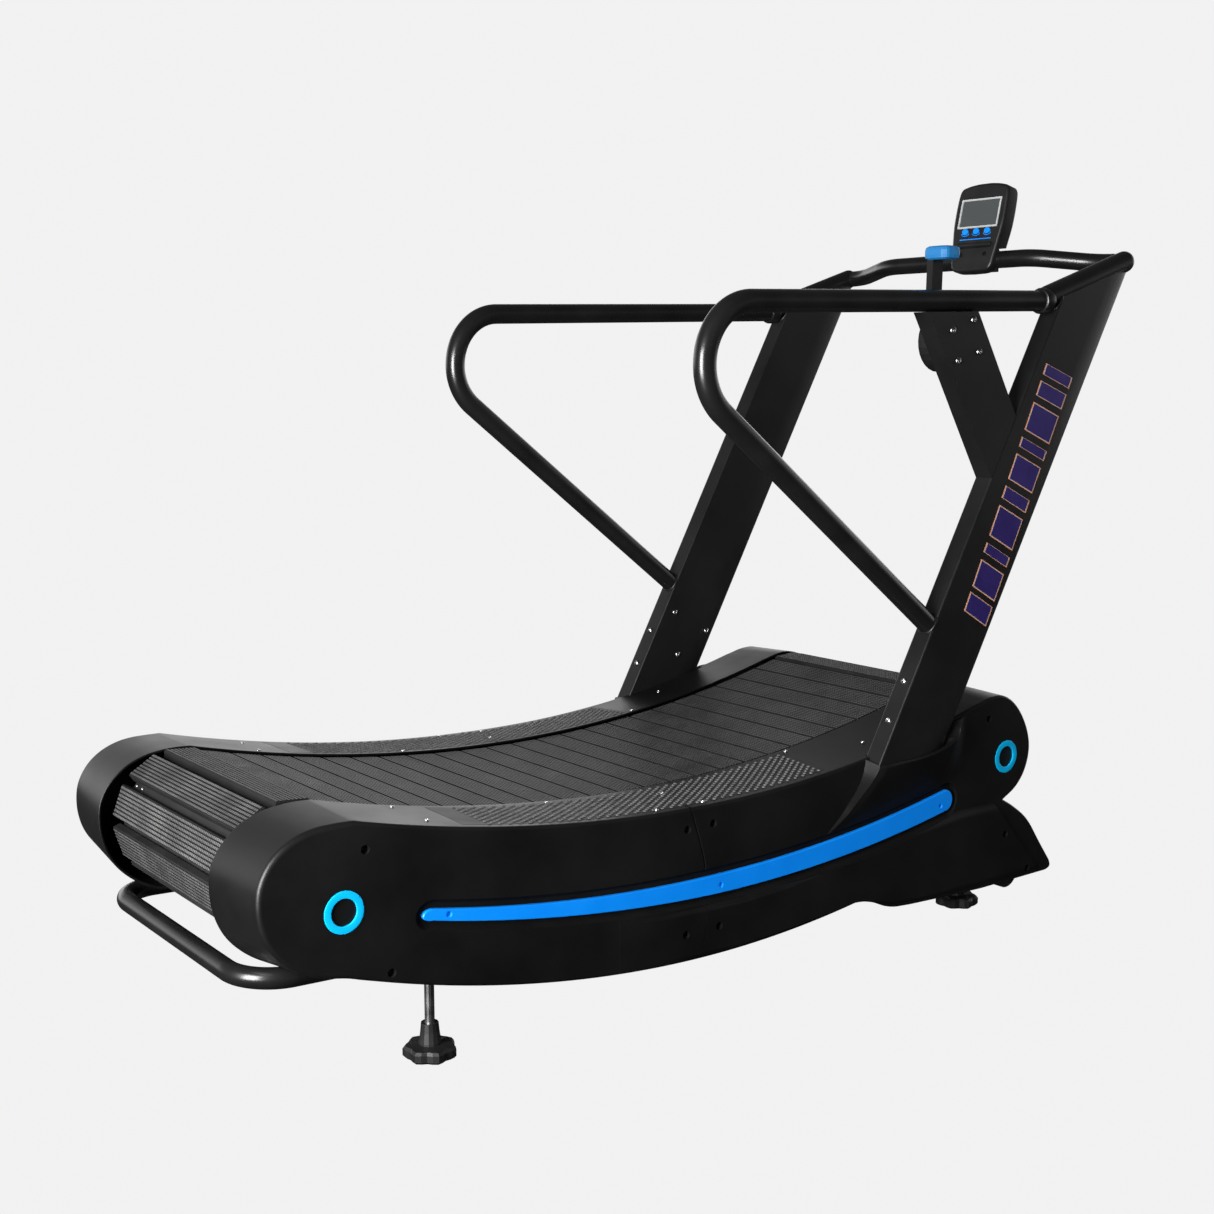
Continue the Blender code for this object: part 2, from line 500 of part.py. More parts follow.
def side(tag, s):
    """Every cover piece of one side; s is -1 on the right and +1 on the left."""
    shell = side_shell(f"front_cover_{tag}", s)
    for x0, x1 in LEDGE_ENDS:
        cut(shell, ledge("recess", x0 - GAP, x1 + GAP, -LEDGE_DEEP - GAP, WHEEL_R, s * (LEDGE_IN - GAP),
                         s * (LEDGE_OUT + GAP)))
    channel = prism("channel", strip_outline(CHANNEL_EDGE), s * (COVER_OUT - CHANNEL_DEEP), s * (BULGE_OUT + GAP))
    cut(shell, channel)
    cut(shell, prism("upright_way", upright_outline(GAP * 3), s * (UP_IN - GAP * 2), s * (UP_OUT + GAP * 2)))
    cut(shell, lift_bar("lift_way", LIFT_R + GAP * 3))
    for x in CROSS_X.values():
        low, high = (x - ROD_WAY_X, s * (FOOT_Y - ROD_WAY_Y), 0.0), (x + ROD_WAY_X, s * (FOOT_Y + ROD_WAY_Y), CROSS_TOP)
        cut(shell, box("rod_way", low, high))
    cut(shell, box("wheel_way", (WHEEL_X - WHEEL_WAY, s * WHEEL_WAY_IN, 0.0),
                   (WHEEL_X + WHEEL_WAY, s * WHEEL_WAY_OUT, WHEEL_WAY_TOP)))
    for where, (x, z) in RINGS.items():
        cut(shell, disc("seat", x, z, RING_R + GAP, s * (COVER_OUT - RING_SINK - GAP), s * BULGE_OUT, BLACK, 24))
        span = (s * (COVER_OUT - RING_SINK), s * (COVER_OUT + RING_PROUD))
        ring = disc(f"{where}_ring_{tag}", x, z, RING_R, *span, BLUE, 24)
        cut(ring, disc("eye", x, z, RING_HOLE, s * COVER_IN, s * BULGE_OUT, BLUE, 24))
    rear = shell.copy()
    rear.data = shell.data.copy()
    rear.name = f"rear_cover_{tag}"
    bpy.context.scene.collection.objects.link(rear)
    clip(rear, box("rear_half", (-FAR, -FAR, -FAR), (SEAM_X - SEAM_GAP, FAR, FAR)))
    clip(shell, box("front_half", (SEAM_X + SEAM_GAP, -FAR, -FAR), (FAR, FAR, FAR)))
    span = (s * (COVER_OUT - CHANNEL_DEEP + GAP), s * (COVER_OUT + STRIP_PROUD))
    prism(f"accent_strip_{tag}", strip_outline(), *span, BLUE)
    for half, (x0, x1) in zip(("rear", "front"), LEDGE_ENDS):
        ledge(f"{half}_ledge_{tag}", x0, x1, -LEDGE_DEEP, LEDGE_PROUD, s * LEDGE_IN, s * LEDGE_OUT)


# ---------------------------------------------------------------- frame
def frame(tag, s):
    """Side plate with its upright bracket and wheel pin, a bearing rail and two bearing blocks."""
    top = [(x, cover_z(x) - PLATE_DROP) for x in spread(PLATE_X0, PLATE_X1, 12)]
    plate = prism(f"side_frame_{tag}", top + PLATE_EDGE, s * PLATE_IN, s * PLATE_OUT, PAINT)
    for x0, x1 in PLATE_SLOTS:
        slot = [(x0, SLOT_LOW), (x1, SLOT_LOW), (x1, cover_z(x1) - SLOT_DROP), (x0, cover_z(x0) - SLOT_DROP)]
        cut(plate, prism("slot", slot, s * BELT_HALF, s * BLOCK_OUT))
    arm = prism("arm", BRACKET, s * PLATE_OUT, s * (UP_IN - GAP))
    pin = disc("pin", WHEEL_X, WHEEL_Z, WHEEL_PIN, s * (PLATE_IN + PLATE_OUT) / 2, s * WHEEL_Y1, PAINT, 32)
    join(plate, arm, pin)
    for where, x, z in (("rear", REAR_X, REAR_Z), ("front", FRONT_X, FRONT_Z)):
        cut(plate, disc("axle_way", x, z, AXLE_HOLE, s * BELT_HALF, s * BLOCK_OUT, PAINT, 32))
        shape = [(x - BLOCK_HALF, z - BLOCK_FOOT), (x + BLOCK_HALF, z - BLOCK_FOOT), (x + BLOCK_HALF, z - BLOCK_LIP)]
        shape += [(x + BLOCK_R * math.cos(a), z + BLOCK_R * math.sin(a)) for a in spread(0.0, math.pi, 10)]
        shape += [(x - BLOCK_HALF, z - BLOCK_LIP)]
        block = prism(f"{where}_bearing_{tag}", shape, s * (PLATE_OUT + GAP), s * BLOCK_OUT, GREASE)
        cut(block, disc("bore", x, z, AXLE_R + RUNNING, s * BELT_HALF, s * COVER_OUT, GREASE, 32))
    bearing_rail(tag, s)
    wheel = disc(f"transport_wheel_{tag}", WHEEL_X, WHEEL_Z, WHEEL_R, s * WHEEL_Y0, s * WHEEL_Y1, KNOB, 28)
    cut(wheel, disc("bore", WHEEL_X, WHEEL_Z, WHEEL_PIN + RUNNING, s * BELT_HALF, s * COVER_OUT, KNOB, 32))


def bearing_rail(tag, s):
    """Curved rail beside the belt, with the rollers that carry the slat ends."""
    xs = spread(TRACK_X0, TRACK_X1, 12)
    outline = [(x, cover_z(x) - TRACK_TOP) for x in xs] + [(x, cover_z(x) - TRACK_LOW) for x in xs[::-1]]
    rail = prism(f"bearing_rail_{tag}", outline, s * TRACK_IN, s * TRACK_OUT, PAINT)
    rollers = [disc("roller", x, cover_z(x) - ROLLER_DROP, ROLLER_R, s * ROLLER_IN, s * ROLLER_OUT, STEEL, 8)
               for x in spread(ROLLER_X0, ROLLER_X1, ROLLERS - 1)]
    return join(rail, *rollers)


def cross_member(where):
    x, low, high = CROSS_X[where], CROSS_TOP - CROSS_HIGH, CROSS_TOP
    beam = box(f"{where}_cross_member", (x - CROSS_SIDE, -CROSS_HALF, low), (x + CROSS_SIDE, CROSS_HALF, high), PAINT)
    inner = CROSS_SIDE - CROSS_WALL
    cut(beam, box("inside", (x - inner, -FAR, low + CROSS_WALL), (x + inner, FAR, high - CROSS_WALL)))
    for s in (-1, 1):
        cut(beam, turned("rod_hole", x, s * FOOT_Y, [(ROD_R + GAP, 0.0), (ROD_R + GAP, ROD_TOP)], PAINT, 14))
    return beam


def foot(where, tag, s):
    """A levelling foot: threaded rod, and a collar with a lobed knob that stands on the floor."""
    x, y = CROSS_X[where], s * FOOT_Y
    line = [(ROD_R - ROD_EASE / 2, ROD_LOW), (ROD_R, ROD_LOW + ROD_EASE / 2), (ROD_R, ROD_TOP - ROD_EASE),
            (ROD_R - ROD_EASE, ROD_TOP)]
    turned(f"{where}_foot_rod_{tag}", x, y, line, STEEL, 14)
    knob = turned(f"{where}_foot_knob_{tag}", x, y, KNOB_LINE, KNOB, 28, KNOB_LOBES, KNOB_CUT)
    join(knob, turned("collar", x, y, COLLAR_LINE, KNOB, 14))
    cut(knob, turned("socket", x, y, [(ROD_R + GAP, ROD_LOW - GAP), (ROD_R + GAP, CROSS_TOP)], KNOB, 14))


# ---------------------------------------------------------------- uprights, handrails, crossbar
def section(z, s, wall=0.0):
    """Cross-section of an upright at height z: flat rear face, long rounded nose at the front."""
    rear, front = UP_X + UP_LEAN * z + wall, UP_X + UP_DEEP + UP_LEAN * z - wall
    y0, y1 = UP_IN + wall, UP_OUT - wall
    middle, half = (y0 + y1) / 2, (y1 - y0) / 2
    ring = [(rear + UP_EASE, y0), (rear, y0 + UP_EASE), (rear, y1 - UP_EASE), (rear + UP_EASE, y1)]
    ring += [(front - UP_NOSE + UP_NOSE * math.cos(a), middle + half * math.sin(a))
             for a in spread(math.pi / 2, -math.pi / 2, 8)]
    return [(x, s * y, z) for x, y in ring]


def upright(tag, s):
    """Leaning hollow section with a round bar for its cap; the right one has two ways for the cable."""
    body = loft(f"upright_{tag}", [section(UP_FOOT, s), section(UP_TOP, s)], PAINT)
    rear, front = Vector(CAP_REAR), Vector(CAP_FRONT)
    ends = [rear.lerp(front, share) for share in (-1.0, 2.0)]
    above = [tuple(ends[0]), tuple(ends[1]), (ends[1].x, FAR), (ends[0].x, FAR)]
    cut(body, prism("above", above, s * COVER_IN, s * FAR))
    cut(body, box("nose", (NOSE_X, s * COVER_IN, UP_HOLLOW_TOP), (FAR, s * FAR, FAR)))
    rear, tip = Vector((CAP_REAR[0], s * RAIL_Y, CAP_REAR[1])), Vector((CAP_FRONT[0], s * RAIL_Y, CAP_FRONT[1]))
    join(body, rounded_bar("cap", rear, tip, CAP_R))
    cut(body, loft("inside", [section(LOW_Z / 2, s, UP_WALL), section(UP_HOLLOW_TOP, s, UP_WALL)]))
    if s < 0:
        cut(body, *[tube("cable_way", way, CABLE_WAY) for way in CABLE_WAYS])
    return body


def rounded_bar(name, start, end, radius, count=16):
    """A round bar with half-ball ends."""
    ahead = (end - start).normalized()
    side_way = Vector((0, 1, 0))
    up = ahead.cross(side_way)
    rings = []
    for centre, angles in ((start, spread(-80, 0, 4)), (end, spread(0, 80, 4))):
        for degrees in angles:
            a = math.radians(degrees)
            here, r = centre + ahead * radius * math.sin(a), radius * math.cos(a)
            rings.append([here + (side_way * math.cos(t) + up * math.sin(t)) * r
                          for t in [2 * math.pi * k / count for k in range(count)]])
    return loft(name, rings, PAINT)


def handrail(tag, s):
    path = [(x, s * RAIL_Y, z) for x, z in (RAIL_START, RAIL_CORNER, RAIL_FOOT)]
    rail = tube(f"handrail_{tag}", rounded(path, RAIL_BEND, 12), RAIL_R, PAINT, 14)
    return cut(rail, prism("face", upright_outline(GAP), s * COVER_IN, s * FAR))


def crossbar():
    half = [Vector(p) for p in BAR]
    path = half + [Vector((p.x, -p.y, p.z)) for p in half[::-1]]
    return tube("crossbar", rounded(path, BAR_BEND, 4), BAR_R)


# ---------------------------------------------------------------- brace, lever, brake
def across(start, end, wide):
    """A rectangle of the given width round a line in side view."""
    a, b = Vector(start), Vector(end)
    push = Vector((b.y - a.y, a.x - b.x)).normalized() * wide / 2
    return [tuple(a + push), tuple(b + push), tuple(b - push), tuple(a - push)]


def brace():
    along = (Vector(BRACE_FOOT) - Vector(BRACE_TOP)).normalized()
    start, end = Vector(BRACE_TOP) - along * BRACE_OVER, Vector(BRACE_FOOT) + along * BRACE_UNDER
    body = prism("brace", across(start, end, BRACE_WIDE), -UP_IN - 2 * GAP, -UP_OUT + 2 * GAP, PAINT)
    roof = [*BRACE_ROOF, (BRACE_ROOF[1][0], FAR), (BRACE_ROOF[0][0], FAR)]
    cut(body, prism("handrail_way", roof, -COVER_IN, -FAR))
    inner = across(start + along * BRACE_OVER / 3, end + along * BRACE_OVER / 3, BRACE_WIDE - 2 * BRACE_WALL)
    hollow = prism("inside", inner, -UP_IN - BRACE_WALL, -UP_OUT + BRACE_WALL)
    cut(hollow, prism("roof", [(x, z - 1.5 * BRACE_WALL) for x, z in roof], -COVER_IN, -FAR))
    cut(body, hollow)
    cut(body, prism("face", upright_outline(GAP), -COVER_IN, -FAR))
    return cut(body, cable_hole(-COVER_IN, -RAIL_Y, PAINT))


def cable_hole(y0, y1, look):
    return disc("cable_hole", PIVOT[0] + CABLE_AT[0], PIVOT[1] + CABLE_AT[1], CABLE_HOLE, y0, y1, look, 16)


def lever():
    """Disc housing on the brace, the lever that turns on it, its grip and the cable it pulls."""
    x, z = PIVOT
    housing = disc("lever_housing", x, z, DISC_R, -DISC_Y0, -DISC_Y1, KNOB, 28)
    join(housing, disc("boss", x, z, BOSS_R, -LEVER_Y0 - BOSS_PROUD, -DISC_Y0 - BOSS_ROOT, KNOB, 32))
    cut(housing, cable_hole(-DISC_Y1 + 0.008, -RAIL_Y, KNOB))
    half = LEVER_WIDE / 2
    outline = [(x + half, z), (x + half, LEVER_TOP), (x - half, LEVER_TOP), (x - half, z)]
    turn = math.acos(half / LEVER_ROOT)  # where the round root meets the lever's straight sides
    outline += [(x + LEVER_ROOT * math.cos(a), z + LEVER_ROOT * math.sin(a))
                for a in spread(turn - math.pi, -turn, 8)]
    arm = prism("lever_arm", outline, -LEVER_Y0, -LEVER_Y1, PAINT)
    cut(arm, disc("bore", x, z, BOSS_R + RUNNING, -COVER_IN, -COVER_OUT, PAINT, 32))
    gx, gy, gz = GRIP[0] / 2, GRIP[1] / 2, GRIP[2]
    middle_y, base = -(LEVER_Y0 + LEVER_Y1) / 2 - GRIP_Y, LEVER_TOP + GAP
    rings = []
    for scale, rise in GRIP_ROWS:
        ring = []
        for k in range(20):
            c, d = math.cos(2 * math.pi * k / 20), math.sin(2 * math.pi * k / 20)
            ring.append((x + GRIP_X + gx * scale * math.copysign(math.sqrt(abs(c)), c),
                         middle_y + gy * scale * math.copysign(math.sqrt(abs(d)), d), base + gz * rise))
        rings.append(ring)
    loft("lever_grip", rings, AZURE)
    top = [(x + CABLE_AT[0], y, z + CABLE_AT[1]) for y in (-DISC_Y1 + 0.0055, -RAIL_Y + GAP)]
    return tube("lever_cable", rounded(top + CABLE_PATH, CABLE_BEND, 2), CABLE_R, KNOB, 6)


def brake():
    disc_body = disc("brake_disc", FRONT_X, FRONT_Z, BRAKE_R, -BRAKE_Y0, -BRAKE_Y1, STEEL, 32)
    cut(disc_body, disc("bore", FRONT_X, FRONT_Z, AXLE_R + RUNNING, -COVER_IN, -COVER_OUT, STEEL, 32))
    px, pz = YOKE_PIVOT
    shape = [(px + x, pz + z) for x, z in YOKE]
    yoke = prism("magnet_yoke", shape, -BRAKE_Y0 + YOKE_SIDE, -BRAKE_Y1 - YOKE_SIDE, GREASE)
    cut(yoke, disc("slot", FRONT_X, FRONT_Z, BRAKE_R + YOKE_CLEAR, -BRAKE_Y0 + YOKE_SLOT, -BRAKE_Y1 - YOKE_SLOT,
                   GREASE, 32))
    return cut(yoke, disc("bore", px, pz, YOKE_PIN + RUNNING, -COVER_IN, -COVER_OUT, GREASE, 32))


# ---------------------------------------------------------------- console
def console():
    """Console leaning away from the runner, clamped round the crossbar right of centre."""
    foot_at, head = Vector(CON_FACE[0]), Vector(CON_FACE[1])
    up = (head - foot_at).normalized()
    out = Vector((up.y, -up.x))  # away from the runner
    bar_x, bar_z = BAR[2][0], BAR[2][2]

    def at(rise, sink):
        p = foot_at + up * rise + out * sink
        return p.x, p.y

    tall = (head - foot_at).length
    y0, y1 = CON_Y - CON_WIDE / 2, CON_Y + CON_WIDE / 2
    bar_rear, e = bar_x - BAR_R - 4 * GAP, CON_EASE
    outline = [at(0.75 * e, 0.0), at(tall - 1.25 * e, 0.0), at(tall, e), at(tall - e / 4, CON_DEEP - e),
               at(tall - 2 * e, CON_DEEP), at(CON_NECK, CON_DEEP + e / 4), at(CON_NECK - CON_STEP, CON_DEEP - e),
               (bar_rear, bar_z + BAR_R / 2), (bar_rear, bar_z - 0.75 * BAR_R), at(0.0, e)]
    steps = ((y0, 3 / 8), (y0 + 3 / 8 * e, 1 / 10), (y0 + e, 0), (y1 - e, 0), (y1 - 3 / 8 * e, 1 / 10), (y1, 3 / 8))
    rings = [[(x, y, z) for x, z in (inset(outline, share * e) if share else outline)] for y, share in steps]
    housing = loft("console_housing", rings)
    cut(housing, box("clamp_way", (bar_x - BAR_R - 3 * GAP, -FAR, 0.0),
                     (FAR, FAR, bar_z + BAR_R + CLAMP_OVER + GAP)))

    def slab(name, low, high, wide, sink, proud, look):
        shape = [at(low, sink), at(high, sink), at(high, -proud), at(low, -proud)]
        return prism(name, shape, CON_Y - wide / 2, CON_Y + wide / 2, look)

    edge = SCREEN_EDGE + GAP
    cut(housing, slab("seat", SCREEN_LOW - edge, SCREEN_HIGH + edge, SCREEN_WIDE + 2 * edge, SCREEN_SEAT,
                      CON_DEEP, BLACK))
    bezel = slab("screen_frame", SCREEN_LOW - SCREEN_EDGE, SCREEN_HIGH + SCREEN_EDGE, SCREEN_WIDE + 2 * SCREEN_EDGE,
                 SCREEN_SEAT - GAP, SCREEN_PROUD, GREY)
    cut(bezel, slab("window", SCREEN_LOW, SCREEN_HIGH, SCREEN_WIDE, CON_DEEP, CON_DEEP, GREY))
    slab("screen", SCREEN_LOW + GAP, SCREEN_HIGH - GAP, SCREEN_WIDE - 2 * GAP, SCREEN_SEAT - GAP, -SCREEN_PROUD, SCREEN)

    def plug(name, y, radius, sink, proud, look):
        rings = []
        for depth in (sink, -proud):
            middle = foot_at + up * BUTTON_UP + out * depth
            high = up * radius * BUTTON_SQUASH
            rings.append([(middle.x + high.x * math.sin(a), y + radius * math.cos(a), middle.y + high.y * math.sin(a))
                          for a in [2 * math.pi * i / 16 for i in range(16)]])
        return loft(name, rings, look)

    for k, tag in enumerate(("L", "M", "R")):
        y = CON_Y + BUTTON_STEP * (1 - k)
        cut(housing, plug("button_hole", y, BUTTON_R + BUTTON_SLACK, BUTTON_SEAT, CON_DEEP, BLACK))
        plug(f"button_{tag}", y, BUTTON_R, BUTTON_SEAT - BUTTON_TRAVEL - GAP, BUTTON_PROUD, BLUE)
    behind, over = bar_x + BAR_R + CLAMP_BEHIND, bar_z + BAR_R + CLAMP_OVER
    clamp = box("console_clamp", (bar_x - BAR_R, CON_Y - CLAMP_HALF, bar_z - BAR_R - CLAMP_BEHIND),
                (behind, CON_Y + CLAMP_HALF, over))
    cut(clamp, disc("bar_way", bar_x, bar_z, BAR_R + GAP, -COVER_IN, COVER_IN, BLACK, 32))
    cut(clamp, box("split", (0.0, -COVER_IN, 0.0), (bar_x - CLAMP_SPLIT, COVER_IN, FAR)))
    return housing


# ---------------------------------------------------------------- assembly
slat_belt()
for place, drum_x, drum_z in (("rear", REAR_X, REAR_Z), ("front", FRONT_X, FRONT_Z)):
    drum(place, drum_x, drum_z)
    cross_member(place)
for letter, sign in (("R", -1), ("L", 1)):
    side(letter, sign)
    frame(letter, sign)
    upright(letter, sign)
    handrail(letter, sign)
    for place in CROSS_X:
        foot(place, letter, sign)
lift_bar("lift_handle", LIFT_R)
crossbar()
brace()
lever()
brake()
console()


def move_origin(name, x, y, z):
    """Puts an object's origin on its axis and leaves its shape where it is."""
    obj = bpy.data.objects[name]
    shift = Vector((x, y, z))
    obj.data.transform(Matrix.Translation(-shift))
    obj.location = shift


for place, drum_x, drum_z in (("rear", REAR_X, REAR_Z), ("front", FRONT_X, FRONT_Z)):
    for piece in ("axle", "drum"):
        move_origin(f"{place}_{piece}", drum_x, 0.0, drum_z)
move_origin("brake_disc", FRONT_X, -BRAKE_Y0, FRONT_Z)
move_origin("magnet_yoke", YOKE_PIVOT[0], -BRAKE_Y0, YOKE_PIVOT[1])
for piece in ("lever_arm", "lever_grip"):
    move_origin(piece, PIVOT[0], -LEVER_Y0, PIVOT[1])
for letter, sign in (("R", -1), ("L", 1)):
    move_origin(f"transport_wheel_{letter}", WHEEL_X, sign * WHEEL_Y0, WHEEL_Z)
    for place in CROSS_X:
        for piece in ("rod", "knob"):
            move_origin(f"{place}_foot_{piece}_{letter}", CROSS_X[place], sign * FOOT_Y, 0.0)
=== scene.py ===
"""Looks of the curved manual treadmill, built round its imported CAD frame.

Metres; +X is the way the runner faces, +Y the runner's left, +Z up. Everything on the right side (-Y)
is modelled once and mirrored to the left. Places come from the frame's boxes; the shapes drawn here
share the few driving dimensions below with the CAD part.
"""

import math

import bmesh
import bpy
import numpy as np
from mathutils import Matrix, Vector

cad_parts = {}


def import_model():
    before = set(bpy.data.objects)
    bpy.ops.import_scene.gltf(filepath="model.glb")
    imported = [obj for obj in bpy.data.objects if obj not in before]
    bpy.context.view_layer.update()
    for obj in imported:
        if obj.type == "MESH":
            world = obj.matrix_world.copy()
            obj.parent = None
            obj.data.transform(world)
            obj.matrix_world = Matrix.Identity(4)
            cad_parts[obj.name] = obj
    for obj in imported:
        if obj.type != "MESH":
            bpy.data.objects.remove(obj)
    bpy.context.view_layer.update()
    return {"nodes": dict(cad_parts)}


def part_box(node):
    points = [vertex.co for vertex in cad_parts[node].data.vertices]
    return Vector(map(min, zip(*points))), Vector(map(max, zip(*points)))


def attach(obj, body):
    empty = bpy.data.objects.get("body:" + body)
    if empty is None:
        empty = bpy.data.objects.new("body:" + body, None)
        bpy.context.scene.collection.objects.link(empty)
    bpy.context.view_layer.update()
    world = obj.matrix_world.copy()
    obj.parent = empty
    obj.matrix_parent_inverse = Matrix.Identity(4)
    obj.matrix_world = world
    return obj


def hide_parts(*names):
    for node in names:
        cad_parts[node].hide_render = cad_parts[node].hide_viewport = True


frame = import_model()

# ---- driving dimensions, as in the CAD part
LOW_X, LOW_Z, CURVE_R = -0.148, 0.362, 2.9  # lowest point and radius of the running surface
UNDER_R, WRAP_R = 8.0, 0.122  # slack run's radius, and the belt's outer radius round a drum
SLAT_THICK, SLAT_PITCH, SLAT_GAP = 0.022, 0.065, 0.0045
COVER_LIFT = 0.004  # how far the covers' tops stand above the belt
SEAM_X = -0.138
UP_X, UP_LEAN, UP_DEEP = 0.092, 0.5387, 0.202  # an upright's rear face at z = 0, its lean, its depth
RAIL_BEND, BAR_BEND, LIFT_BEND, LIFT_R = 0.108, 0.155, 0.08, 0.018


def middle(node):
    low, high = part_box(node)
    return (low + high) / 2


def width(node):
    low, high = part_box(node)
    return high - low


REAR_AXIS, FRONT_AXIS = middle("rear_axle"), middle("front_axle")
BELT_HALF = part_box("slat_belt")[1].y
COVER_IN, COVER_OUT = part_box("rear_cover_L")[0].y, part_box("rear_cover_L")[1].y
BULGE_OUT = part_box("front_cover_L")[1].y
UP_IN, UP_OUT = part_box("upright_L")[0].y, 0.422
LEDGE_IN, LEDGE_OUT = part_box("rear_ledge_L")[0].y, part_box("rear_ledge_L")[1].y


# ================================================================ materials
def filled(node, **values):
    """Sets inputs of a node; an underscore stands for a space in an input's name."""
    for key, value in values.items():
        node.inputs[key.replace("_", " ")].default_value = value
    return node


def shader_of(name, colour, metallic=0.0, roughness=0.5, specular=0.5):
    made = bpy.data.materials.new(name)
    made.use_nodes = True
    nodes, links = made.node_tree.nodes, made.node_tree.links
    shader = filled(nodes["Principled BSDF"], Base_Color=(*colour, 1.0), Metallic=metallic, Roughness=roughness,
                    Specular_IOR_Level=specular)
    made.diffuse_color = (*colour, 1.0)
    return made, nodes, links, shader


def noise(nodes, links, place, scale, detail=3.0, rough=0.55):
    made = filled(nodes.new("ShaderNodeTexNoise"), Scale=scale, Detail=detail, Roughness=rough)
    links.new(place, made.inputs["Vector"])
    return made.outputs["Fac"]


def ramp(nodes, links, value, low, high, out_low, out_high):
    made = filled(nodes.new("ShaderNodeMapRange"), From_Min=low, From_Max=high, To_Min=out_low, To_Max=out_high)
    links.new(value, made.inputs["Value"])
    return made.outputs["Result"]


def mix(nodes, links, factor, low, high, target):
    """Leads two colours, mixed by a factor, to a socket."""
    made = nodes.new("ShaderNodeMix")
    made.data_type = "RGBA"
    filled(made, A=(*low, 1.0), B=(*high, 1.0))
    links.new(factor, made.inputs["Factor"])
    links.new(made.outputs["Result"], target)


def finish_of(name, colour, other, metallic, roughness, specular, grain, depth, patch):
    """A moulded, painted or rubber surface: patchy colour between two tones, uneven gloss, fine grain."""
    made, nodes, links, shader = shader_of(name, colour, metallic, sum(roughness) / 2, specular)
    place = nodes.new("ShaderNodeTexCoord").outputs["Object"]
    wide = noise(nodes, links, place, patch, 4.0, 0.6)
    fine = noise(nodes, links, place, grain, 2.0, 0.5)
    share = ramp(nodes, links, wide, 0.35, 0.65, 0.0, 1.0)
    mix(nodes, links, share, colour, other, shader.inputs["Base Color"])
    links.new(ramp(nodes, links, wide, 0.3, 0.7, *roughness), shader.inputs["Roughness"])
    bump = filled(nodes.new("ShaderNodeBump"), Strength=0.6, Distance=depth)
    links.new(fine, bump.inputs["Height"])
    links.new(bump.outputs["Normal"], shader.inputs["Normal"])
    return made


# name, two colours, metallic, roughness from and to, specular, grain scale and depth, patch scale
FINISHES = [
    ("cover_plastic", (0.0042, 0.0042, 0.0043), (0.007, 0.007, 0.0071), 0, (0.36, 0.46), 0.35,
     1400, 0.00005, 5),
    ("ledge_plastic", (0.01, 0.01, 0.0101), (0.014, 0.014, 0.0141), 0, (0.42, 0.52), 0.4, 1200, 0.00006, 7),
    ("grip_nub", (0.07, 0.07, 0.07), (0.13, 0.13, 0.13), 0, (0.45, 0.6), 0.45, 2500, 0.00004, 40),
    ("satin_paint", (0.0065, 0.0066, 0.0068), (0.0095, 0.0096, 0.0098), 0, (0.33, 0.41), 0.45, 600, 0.00003, 6),
    ("tube_paint", (0.0065, 0.0066, 0.0068), (0.0095, 0.0096, 0.0098), 0, (0.25, 0.32), 0.55, 500, 0.00002, 8),
    ("slat_rubber", (0.006, 0.006, 0.006), (0.011, 0.011, 0.0109), 0, (0.62, 0.75), 0.3, 700, 0.00015, 12),
    # slat nub tops: lighter for wear, and made lighter still as a painted sheen
    ("slat_worn", (0.05, 0.05, 0.05), (0.11, 0.11, 0.108), 0, (0.42, 0.58), 0.6, 900, 0.0001, 14),
    ("accent_blue", (0.002, 0.235, 0.89), (0.003, 0.26, 0.94), 0, (0.3, 0.38), 0.5, 700, 0.00002, 10),
    ("ring_blue", (0.002, 0.42, 0.79), (0.003, 0.46, 0.85), 0, (0.3, 0.38), 0.5, 700, 0.00002, 20),
    ("grip_azure", (0.012, 0.15, 0.38), (0.018, 0.18, 0.44), 0, (0.42, 0.52), 0.5, 900, 0.00006, 25),
    ("bright_steel", (0.62, 0.62, 0.63), (0.7, 0.7, 0.71), 1, (0.22, 0.34), 0.5, 1500, 0.00003, 60),
    ("rod_steel", (0.42, 0.42, 0.43), (0.52, 0.52, 0.53), 1, (0.3, 0.42), 0.5, 900, 0.00003, 30),
    ("cast_iron", (0.04, 0.04, 0.042), (0.06, 0.06, 0.062), 0.6, (0.5, 0.62), 0.5, 500, 0.0002, 12),
    ("drum_alloy", (0.32, 0.32, 0.33), (0.4, 0.4, 0.41), 1, (0.4, 0.52), 0.5, 700, 0.00006, 10),
    ("knob_plastic", (0.005, 0.005, 0.0051), (0.008, 0.008, 0.0081), 0, (0.42, 0.55), 0.45, 900, 0.00012, 15),
    ("wheel_rubber", (0.01, 0.01, 0.01), (0.015, 0.015, 0.015), 0, (0.6, 0.72), 0.35, 700, 0.00015, 15),
    ("console_plastic", (0.009, 0.009, 0.0093), (0.0125, 0.0125, 0.0128), 0, (0.34, 0.44), 0.45,
     1500, 0.00004, 20),
    ("bezel_grey", (0.42, 0.43, 0.43), (0.48, 0.49, 0.49), 0, (0.4, 0.5), 0.5, 1200, 0.00003, 40),
    ("cavity_black", (0.004, 0.004, 0.004), (0.006, 0.006, 0.006), 0, (0.7, 0.8), 0.1, 400, 0.0001, 9),
    ("decal_violet", (0.022, 0.012, 0.11), (0.028, 0.016, 0.13), 0, (0.32, 0.4), 0.5, 900, 0.00001, 20),
    ("decal_orange", (0.72, 0.24, 0.1), (0.8, 0.3, 0.13), 0, (0.34, 0.42), 0.5, 900, 0.00001, 20),
]
(COVER, LEDGE, NUB, PAINT, TUBE, RUBBER, WORN_AND_SHEEN, BLUE, RING, AZURE, STEEL, ROD, IRON, ALLOY, KNOB,
 TYRE, SHELL, BEZEL, CAVITY, PURPLE, ORANGE) = [finish_of(*row) for row in FINISHES]


